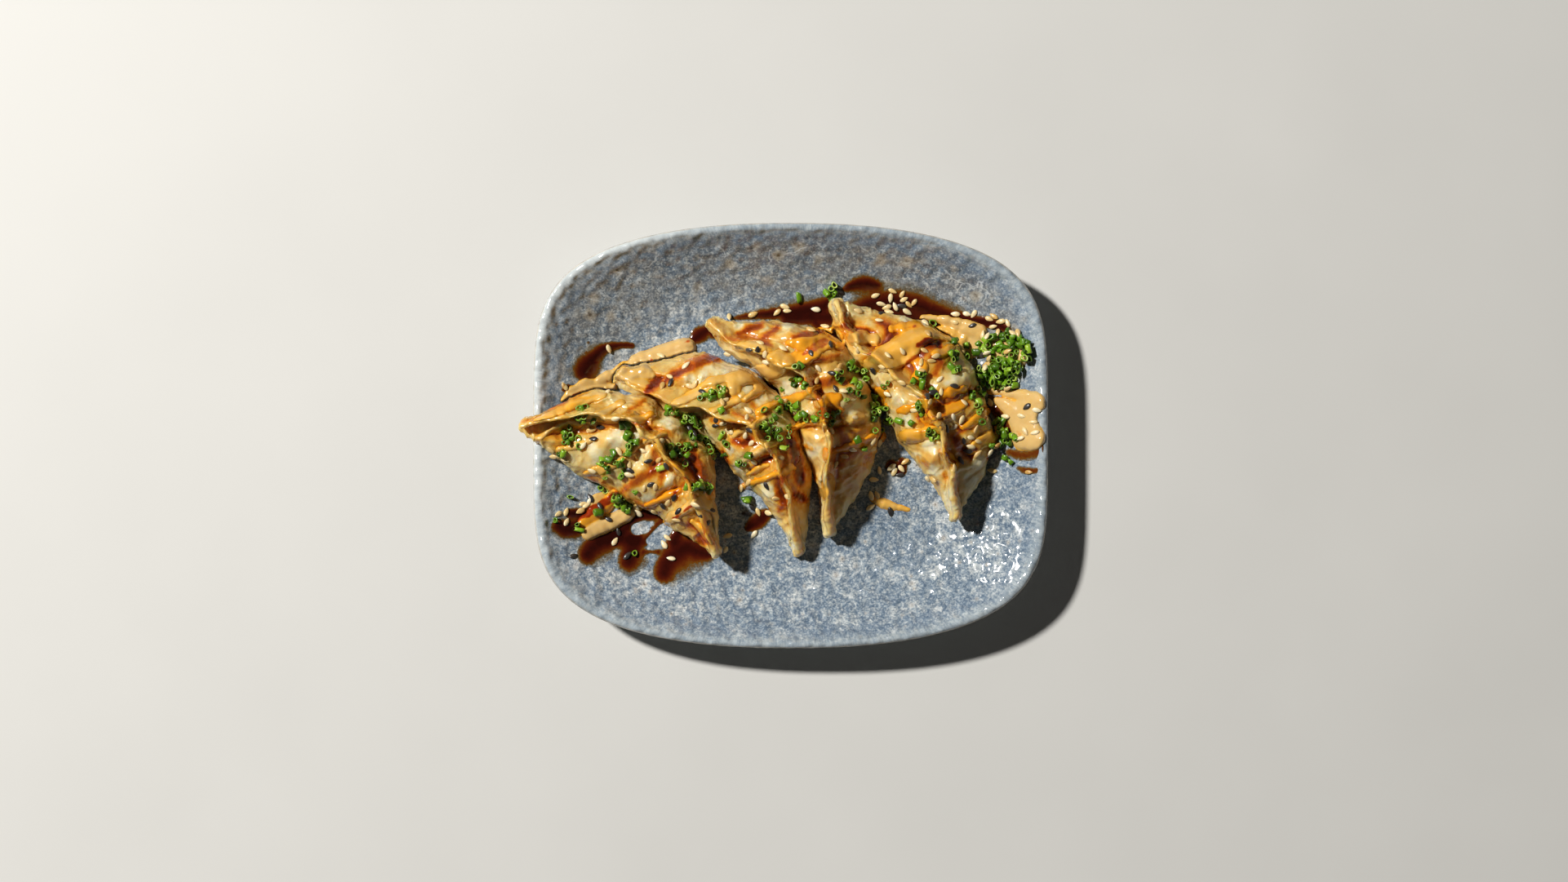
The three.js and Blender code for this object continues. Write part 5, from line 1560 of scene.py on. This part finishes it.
def stamp(Hc, x, y, r, top):
    j0, j1 = np.searchsorted(GX, [x - r, x + r])
    i0, i1 = np.searchsorted(GY, [y - r, y + r])
    xs, ys = XX[i0:i1, j0:j1], YY[i0:i1, j0:j1]
    m = (xs - x) ** 2 + (ys - y) ** 2 < r * r
    Hc[i0:i1, j0:j1] = np.where(m, np.maximum(Hc[i0:i1, j0:j1], top), Hc[i0:i1, j0:j1])


def disc_max(Hc, x, y, r):
    j0, j1 = np.searchsorted(GX, [x - r, x + r])
    i0, i1 = np.searchsorted(GY, [y - r, y + r])
    A = Hc[i0:i1, j0:j1]
    if A.size == 0:
        return 0.0
    m = (XX[i0:i1, j0:j1] - x) ** 2 + (YY[i0:i1, j0:j1] - y) ** 2 < r * r
    return float(np.percentile(A[m], 80)) if m.any() else float(A.mean())


def scatter_chives(name, table, Hc, rng, material):
    ns = 14
    a = np.arange(ns) * 2 * np.pi / ns
    ca, sa = np.cos(a), np.sin(a)
    verts, quads, tones, parts = [], [], [], []
    off = 0
    F0 = grid_faces(8, ns, True)
    # close the loop from the last ring back to the first
    j = np.arange(ns)
    Fl = np.stack([7 * ns + j, 7 * ns + (j + 1) % ns, (j + 1) % ns, j], 1)
    F0 = np.vstack([F0, Fl])
    count = 0

    def tube(c, ex, ey, ez, r, wall, l, oval, skew, tone):
        nonlocal off, count
        bow = rng.uniform(-0.12, 0.12)
        rows = []
        for (rr, u, p) in ((r, 0.03, 0), (r * 1.02, 0.35, 0), (r * 1.02, 0.65, 0), (r, 0.97, 0), (r - wall * 0.5, 1.02, 0.5),
                           (r - wall, 0.96, 1), (r - wall * 1.05, 0.5, 1), (r - wall, 0.04, 1)):
            z = (u - 0.5) * l
            X = rr * ca
            Y = rr * sa * oval
            Z = z + skew * X * (1 if u > 0.5 else -0.6) * abs(u - 0.5) * 2
            X = X + bow * (u - 0.5) ** 2 * 4 * r
            rows.append(np.stack([X, Y, Z], 1))
            parts.append(np.full(ns, p))
        P = np.vstack(rows)
        P *= 1 + 0.06 * rng.randn(1, 3)
        P[:, 0] += 0.05 * r * np.sin(3 * np.tile(a, 8) + rng.uniform(0, 6)) + 0.10 * r * np.sin(2 * np.tile(a, 8) + P[:, 2] + rng.uniform(0, 6))
        verts.append(c + P[:, :1] * ex + P[:, 1:2] * ey + P[:, 2:] * ez)
        quads.append(F0 + off)
        tones.append(np.full(len(P), tone))
        off += len(P)
        count += 1

    for win in sorted(table):
        for sx, sy, n in table[win]:
            px, py = wpt(win, sx, sy)
            R = 1.15 * math.sqrt(max(n - 1, 0)) + 0.15
            for _ in range(n):
                r = rng.uniform(0.85, 1.30)
                l = rng.uniform(1.0, 3.2)
                best = None
                for _k in range(9):
                    t, q = rng.uniform(0, 2 * math.pi), R * math.sqrt(rng.uniform(0, 1))
                    x, y, z = drop_point(Hc, px, py)
                    x, y = x + q * math.cos(t), y + q * math.sin(t)
                    s = disc_max(Hc, x, y, r * 0.9)
                    if float(share_of(x, y)) > 0.93:
                        continue
                    score = s + 0.3 * q
                    if best is None or score < best[0]:
                        best = (score, x, y, s)
                if best is None:
                    continue
                _, x, y, s = best
                tone = float(np.clip(rng.normal(0.46, 0.22), 0.02, 0.98))
                if rng.rand() < 0.42:
                    tilt, az = abs(rng.normal(0, 0.33)), rng.uniform(0, 2 * math.pi)
                    ez = unit([math.sin(tilt) * math.cos(az), math.sin(tilt) * math.sin(az), math.cos(tilt)])
                    l *= 0.8
                    c = np.array([x, y, s + l * 0.5 * ez[2] - 0.25])
                    top = c[2] + l * 0.5 * ez[2]
                    stamp(Hc, x, y, r * 1.05, top)
                else:
                    az = rng.uniform(0, 2 * math.pi)
                    d = np.array([math.cos(az), math.sin(az)])
                    h0 = disc_max(Hc, x - d[0] * l * 0.4, y - d[1] * l * 0.4, r * 0.6)
                    h1 = disc_max(Hc, x + d[0] * l * 0.4, y + d[1] * l * 0.4, r * 0.6)
                    sl = np.clip((h1 - h0) / (0.8 * l), -0.9, 0.9)
                    ez = unit([d[0], d[1], sl])
                    c = np.array([x, y, max((h0 + h1) / 2, s - 0.6) + r * 0.82 - 0.15])
                    for u in (-0.4, -0.2, 0, 0.2, 0.4):
                        p = c + ez * u * l
                        stamp(Hc, p[0], p[1], r * 0.75, p[2] + r * 0.75)
                up = np.array([0.0, 0.0, 1.0]) if abs(ez[2]) < 0.9 else np.array([1.0, 0.0, 0.0])
                ex = unit(np.cross(up, ez))
                ey = np.cross(ez, ex)
                ph = rng.uniform(0, 2 * math.pi)
                ex, ey = ex * math.cos(ph) + ey * math.sin(ph), ey * math.cos(ph) - ex * math.sin(ph)
                oval = rng.uniform(0.58, 1.0)
                skew = rng.uniform(-0.55, 0.55)
                tube(c, ex, ey, ez, r, r * rng.uniform(0.30, 0.46), l, oval, skew, tone)
                if rng.rand() < 0.22:
                    tube(c + ez * rng.uniform(-0.15, 0.3), ex, ey, ez, r * 0.62, 0.22, l * 0.9, oval, skew,
                         min(tone + 0.2, 0.98))
    V = np.vstack(verts)
    ob = make_object(name, V, np.vstack(quads), material, True,
                     {"tone": np.concatenate(tones), "part": np.concatenate(parts)})
    return ob, count


def close_sheet(name, T, top, bottom, keep, attrs, material, relax=2, cut=None):
    """A closed body between two height pictures over the kept cells."""
    cell = keep[:-1, :-1] & keep[:-1, 1:] & keep[1:, 1:] & keep[1:, :-1]
    if cut is not None:
        cell &= ~cut
    # a kept cell shares an edge with another, so no two bodies meet at a single corner
    for _ in range(4):
        c = np.pad(cell, 1)
        a, b, d, e = c[:-1, :-1], c[:-1, 1:], c[1:, :-1], c[1:, 1:]
        pinch = (a & e & ~b & ~d) | (b & d & ~a & ~e)
        if not pinch.any():
            break
        cell &= ~(pinch[:-1, :-1] | pinch[:-1, 1:] | pinch[1:, :-1] | pinch[1:, 1:])
    # crumbs of a few cells are dropped
    lab = np.where(cell, np.arange(cell.size).reshape(cell.shape), cell.size)
    for _ in range(900):
        c = np.pad(lab, 1, constant_values=cell.size)
        low = np.minimum.reduce([lab, c[:-2, 1:-1], c[2:, 1:-1], c[1:-1, :-2], c[1:-1, 2:]])
        low = np.where(cell, low, cell.size)
        if (low == lab).all():
            break
        lab = low
    count = np.bincount(lab.ravel(), minlength=cell.size + 1)
    cell &= count[lab] > 60
    used = np.zeros(T.shape, bool)
    used[:-1, :-1] |= cell
    used[:-1, 1:] |= cell
    used[1:, 1:] |= cell
    used[1:, :-1] |= cell
    idx = -np.ones(T.shape, int)
    idx[used] = np.arange(used.sum())
    n = int(used.sum())
    Vt = np.stack([XX[used], YY[used], top[used]], 1)
    F = np.stack([idx[:-1, :-1][cell], idx[:-1, 1:][cell], idx[1:, 1:][cell], idx[1:, :-1][cell]], 1)
    E = np.vstack([F[:, [0, 1]], F[:, [1, 2]], F[:, [2, 3]], F[:, [3, 0]]])
    # borders: edges used once
    key = E[:, 0].astype(np.int64) * n + E[:, 1]
    rev = E[:, 1].astype(np.int64) * n + E[:, 0]
    border = E[~np.isin(key, rev)]
    cnt = np.zeros(n)
    np.add.at(cnt, E[:, 0], 1)
    np.add.at(cnt, E[:, 1], 1)
    for _ in range(relax):
        S = np.zeros_like(Vt)
        np.add.at(S, E[:, 0], Vt[E[:, 1]])
        np.add.at(S, E[:, 1], Vt[E[:, 0]])
        Vt = Vt * 0.5 + 0.5 * S / np.maximum(cnt, 1)[:, None]
    Vb = Vt.copy()
    Vb[:, 2] = np.minimum(bottom[used], Vt[:, 2] - 0.12)
    V = np.vstack([Vt, Vb])
    side = np.stack([border[:, 1], border[:, 0], border[:, 0] + n, border[:, 1] + n], 1)
    FF = np.vstack([F, F[:, ::-1] + n, side])
    A = {k: np.concatenate([v[used], v[used]]) for k, v in attrs.items()}
    return make_object(name, V, FF, material, True, A)


# ------------------------------------------------------------------- assembly
plate = build_plate()
plate.data.materials.clear()
plate.data.materials.append(plate_material())
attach(plate, "root")
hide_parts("plate")

skin = dough_material()
meshes = []
for d in G:
    ob, V, F = build_dumpling(d)
    ob.data.materials.clear()
    ob.data.materials.append(skin)
    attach(ob, "root")
    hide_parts(d["name"])
    meshes.append((V, F))

H, ids = height_map(meshes)
H_view = H
SH = share_of(XX, YY)
onplate = SH < 0.985
body = ids > 0

# glaze on the dish
Hd = dish_height(np.minimum(SH, 1.0))
Tg, _ = pour([(g[0], 0.0, g[2]) + tuple(g[3:]) for g in GLAZE], H, 0.60, power=1.25, soft=0.5, flat=0.36)
for win, pts in GLAZE_HOLES:
    P = path_mm(win, pts, 8.0)
    dist, rad, _, _ = seg_field(XX, YY, P)
    w3 = np.stack([XX, YY, np.zeros_like(XX)], -1)
    Tg = np.minimum(Tg, (dist - rad) * 1.0 + 0.25 * gnoise(w3, 2.6, 77))
Tg = np.where(onplate, Tg, -9.0)
gz_top = Hd + np.where(Tg > 0, np.clip(Tg, 0, 0.6), np.clip(Tg, -1, 0) * 0.6) + 0.02
gz = close_sheet("glaze_on_dish", Tg, gz_top, Hd - 0.7, (Tg > -0.5), {"thick": np.clip(Tg, -0.5, 1)}, glaze_material(), 2)
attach(gz, "root")

H1 = np.where(body, H, np.maximum(H, Hd + np.clip(Tg, 0, 0.6)))

# pale sauce
Tm, tone = pour(MAYO, H1, 2.3, power=0.55, soft=0.5, flat=0.85, grow=0.12, uneven=0.45, skirt=1.0)
Tm = np.where(SH < 0.992, Tm, -9.0)
drop = H1 - widen(H1, 4, np.minimum)
cliff = sstep(5.0, 8.0, drop)
w3 = np.stack([XX, YY, np.zeros_like(XX)], -1)
Tm = Tm + np.where(Tm > 0.1, 0.18 * gnoise(w3, 3.0, 301) + 0.10 * gnoise(w3, 1.5, 302), 0)
Zb = np.maximum(blur(widen(H1, 1), 1.6), H1 - 0.05)
He = widen(H1, 1, np.minimum)
# the sauce parts where a seam or a back drops away from the front by more than it can bridge
corners = np.stack([H1[:-1, :-1], H1[:-1, 1:], H1[1:, :-1], H1[1:, 1:]])
gx = 0.5 * (corners[1] + corners[3] - corners[0] - corners[2])
gy = 0.5 * (corners[2] + corners[3] - corners[0] - corners[1])
steep = np.hypot(gx, gy) + 1e-6
lands = ~(body[:-1, :-1] & body[:-1, 1:] & body[1:, :-1] & body[1:, 1:])
wall = (steep > 1.4) & lands & (gy / steep < 0.30)
tall = np.zeros(H1.shape)
tall[:-1, :-1] = wall
tall = widen(tall, 2) * sstep(3.5, 4.5, widen(H1, 3) - widen(H1, 3, np.minimum))
wall &= tall[:-1, :-1] > 0.5
gap = np.zeros(H1.shape)
gap[:-1, :-1] = wall
gap = blur(widen(gap, 1), 1.6) > 0.42
wall |= gap[:-1, :-1] & gap[1:, 1:] & gap[1:, :-1] & gap[:-1, 1:]
Zb = np.where(tall > 0.5, H1, Zb)
He = np.where(tall > 0.5, H1, He)
wt = sstep(-0.02, 0.30, Tm)
m_top = (He - 0.45) * (1 - wt) + (Zb + np.clip(Tm, 0, 3)) * wt
streak = np.zeros_like(XX)
for win, st, pts in STREAKS:
    rows = []
    for p in pts:
        x, y = wpt(win, p[0], p[1])
        X, Y, Z = drop_point(H, x, y)
        rows.append((X, Y, p[2] / WIN[win][2] * MM_PX))
    dist, rad, _, _ = seg_field(XX, YY, spline(rows))
    f = sstep(0.4, -0.8, (dist - rad) + 0.6 * gnoise(w3, 2.2, 88) + 0.3 * gnoise(w3, 0.9, 89))
    streak = np.maximum(streak, st * f)
mayo = close_sheet("pale_sauce", Tm, m_top, np.minimum(He - 0.9, m_top - 0.15), (Tm > -0.5),
                   {"tone": tone, "streak": streak, "thick": np.clip(Tm, -0.5, 3)}, mayo_material(), 3, wall)
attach(mayo, "root")

# a thin warm film spreads round every stroke
cover = sstep(-0.3, 0.3, Tm)
near_sauce = np.clip(blur(cover, 3.0) * 1.1 + 0.5 * blur(cover, 9.0), 0, 1)
for d, (V, F) in zip(G, meshes):
    me = bpy.data.objects["dumpling_" + d["name"][-1]].data
    fx = sample(near_sauce, V[:, 0], V[:, 1])
    below = sample(H, V[:, 0], V[:, 1]) - V[:, 2]
    at = me.attributes.new("film", "FLOAT", "POINT")
    at.data.foreach_set("value", (fx * sstep(4.0, 0.8, below)).astype(np.float32))

Hc = np.maximum(H1, np.where(Tm > 0.1, m_top - 0.15, -50))
rng = np.random.RandomState(4217)
chives, n_chives = scatter_chives("chives", CHIVES, Hc, rng, chive_material())
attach(chives, "root")
white = scatter_seeds("sesame_white", WHITE, Hc, rng, white_seed_material(), 0.18)
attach(white, "root")
black = scatter_seeds("sesame_black", BLACK, Hc, rng, black_seed_material(), 0.18)
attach(black, "root")

# ---------------------------------------------------------------------- stage
def floor_material():
    m = Mat("pale_floor")
    n = m.noise(14, 3, 0.5)
    m.set(Base_Color=m.mix(n, "#C8C8C5", "#D0D0CD"), Roughness=m.add(m.mul(n, 0.1), 0.55))
    return m.m


me = bpy.data.meshes.new("floor")
me.from_pydata([(-3, -3, -0.0003), (3, -3, -0.0003), (3, 3, -0.0003), (-3, 3, -0.0003)], [], [(0, 1, 2, 3)])
floor = bpy.data.objects.new("floor", me)
me.materials.append(floor_material())
bpy.context.scene.collection.objects.link(floor)
floor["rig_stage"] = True


def area_light(name, direction, dist, size, power, colour):
    li = bpy.data.lights.new(name, "AREA")
    li.shape = "DISK"
    li.size = size
    li.energy = power
    li.color = colour
    ob = bpy.data.objects.new(name, li)
    d = Vector(direction).normalized()
    ob.location = Vector((PCX / 1000, PCY / 1000, 0.015)) + d * dist
    ob.rotation_euler = (-d).to_track_quat("-Z", "Y").to_euler()
    bpy.context.scene.collection.objects.link(ob)
    return ob


area_light("key", (-0.74, 0.475, 1.0), 2.1, 0.155, 63.5, (1.0, 0.97, 0.925))
area_light("fill", (0.75, -0.45, 0.55), 1.6, 1.0, 0.44, (1.0, 0.96, 0.90))

world = bpy.data.worlds.new("studio")
world.use_nodes = True
bg = world.node_tree.nodes["Background"]
wt_ = world.node_tree
tc = wt_.nodes.new("ShaderNodeTexCoord")
sp = wt_.nodes.new("ShaderNodeSeparateXYZ")
mr = wt_.nodes.new("ShaderNodeMapRange")
wt_.links.new(tc.outputs["Generated"], sp.inputs[0])
wt_.links.new(sp.outputs[2], mr.inputs["Value"])
for k_, v_ in (("From Min", 0.0), ("From Max", 0.9), ("To Min", 0.10), ("To Max", 0.022)):
    mr.inputs[k_].default_value = v_
bg.inputs[0].default_value = (1.0, 0.965, 0.92, 1.0)
wt_.links.new(mr.outputs["Result"], bg.inputs[1])
bpy.context.scene.world = world
bpy.context.scene.view_settings.view_transform = "Standard"

cam = bpy.data.cameras.new("camera")
cam.sensor_width = 36.0
cam.lens = 36.0 * CAM_D / (IMG_W * MM_PX)
cam.clip_start, cam.clip_end = 0.01, 20.0
cob = bpy.data.objects.new("camera", cam)
cob.location = ((PCX + CAM_X) / 1000, (PCY + CAM_Y) / 1000, (CAM_D + RIM) / 1000)
bpy.context.scene.collection.objects.link(cob)
bpy.context.scene.camera = cob

tri = {}
for o in bpy.data.objects:
    if o.type == "MESH" and not o.hide_render and not o.get("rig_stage"):
        tri[o.name] = sum(len(p.vertices) - 2 for p in o.data.polygons)
print("triangles", tri, sum(tri.values()), "chives", n_chives)

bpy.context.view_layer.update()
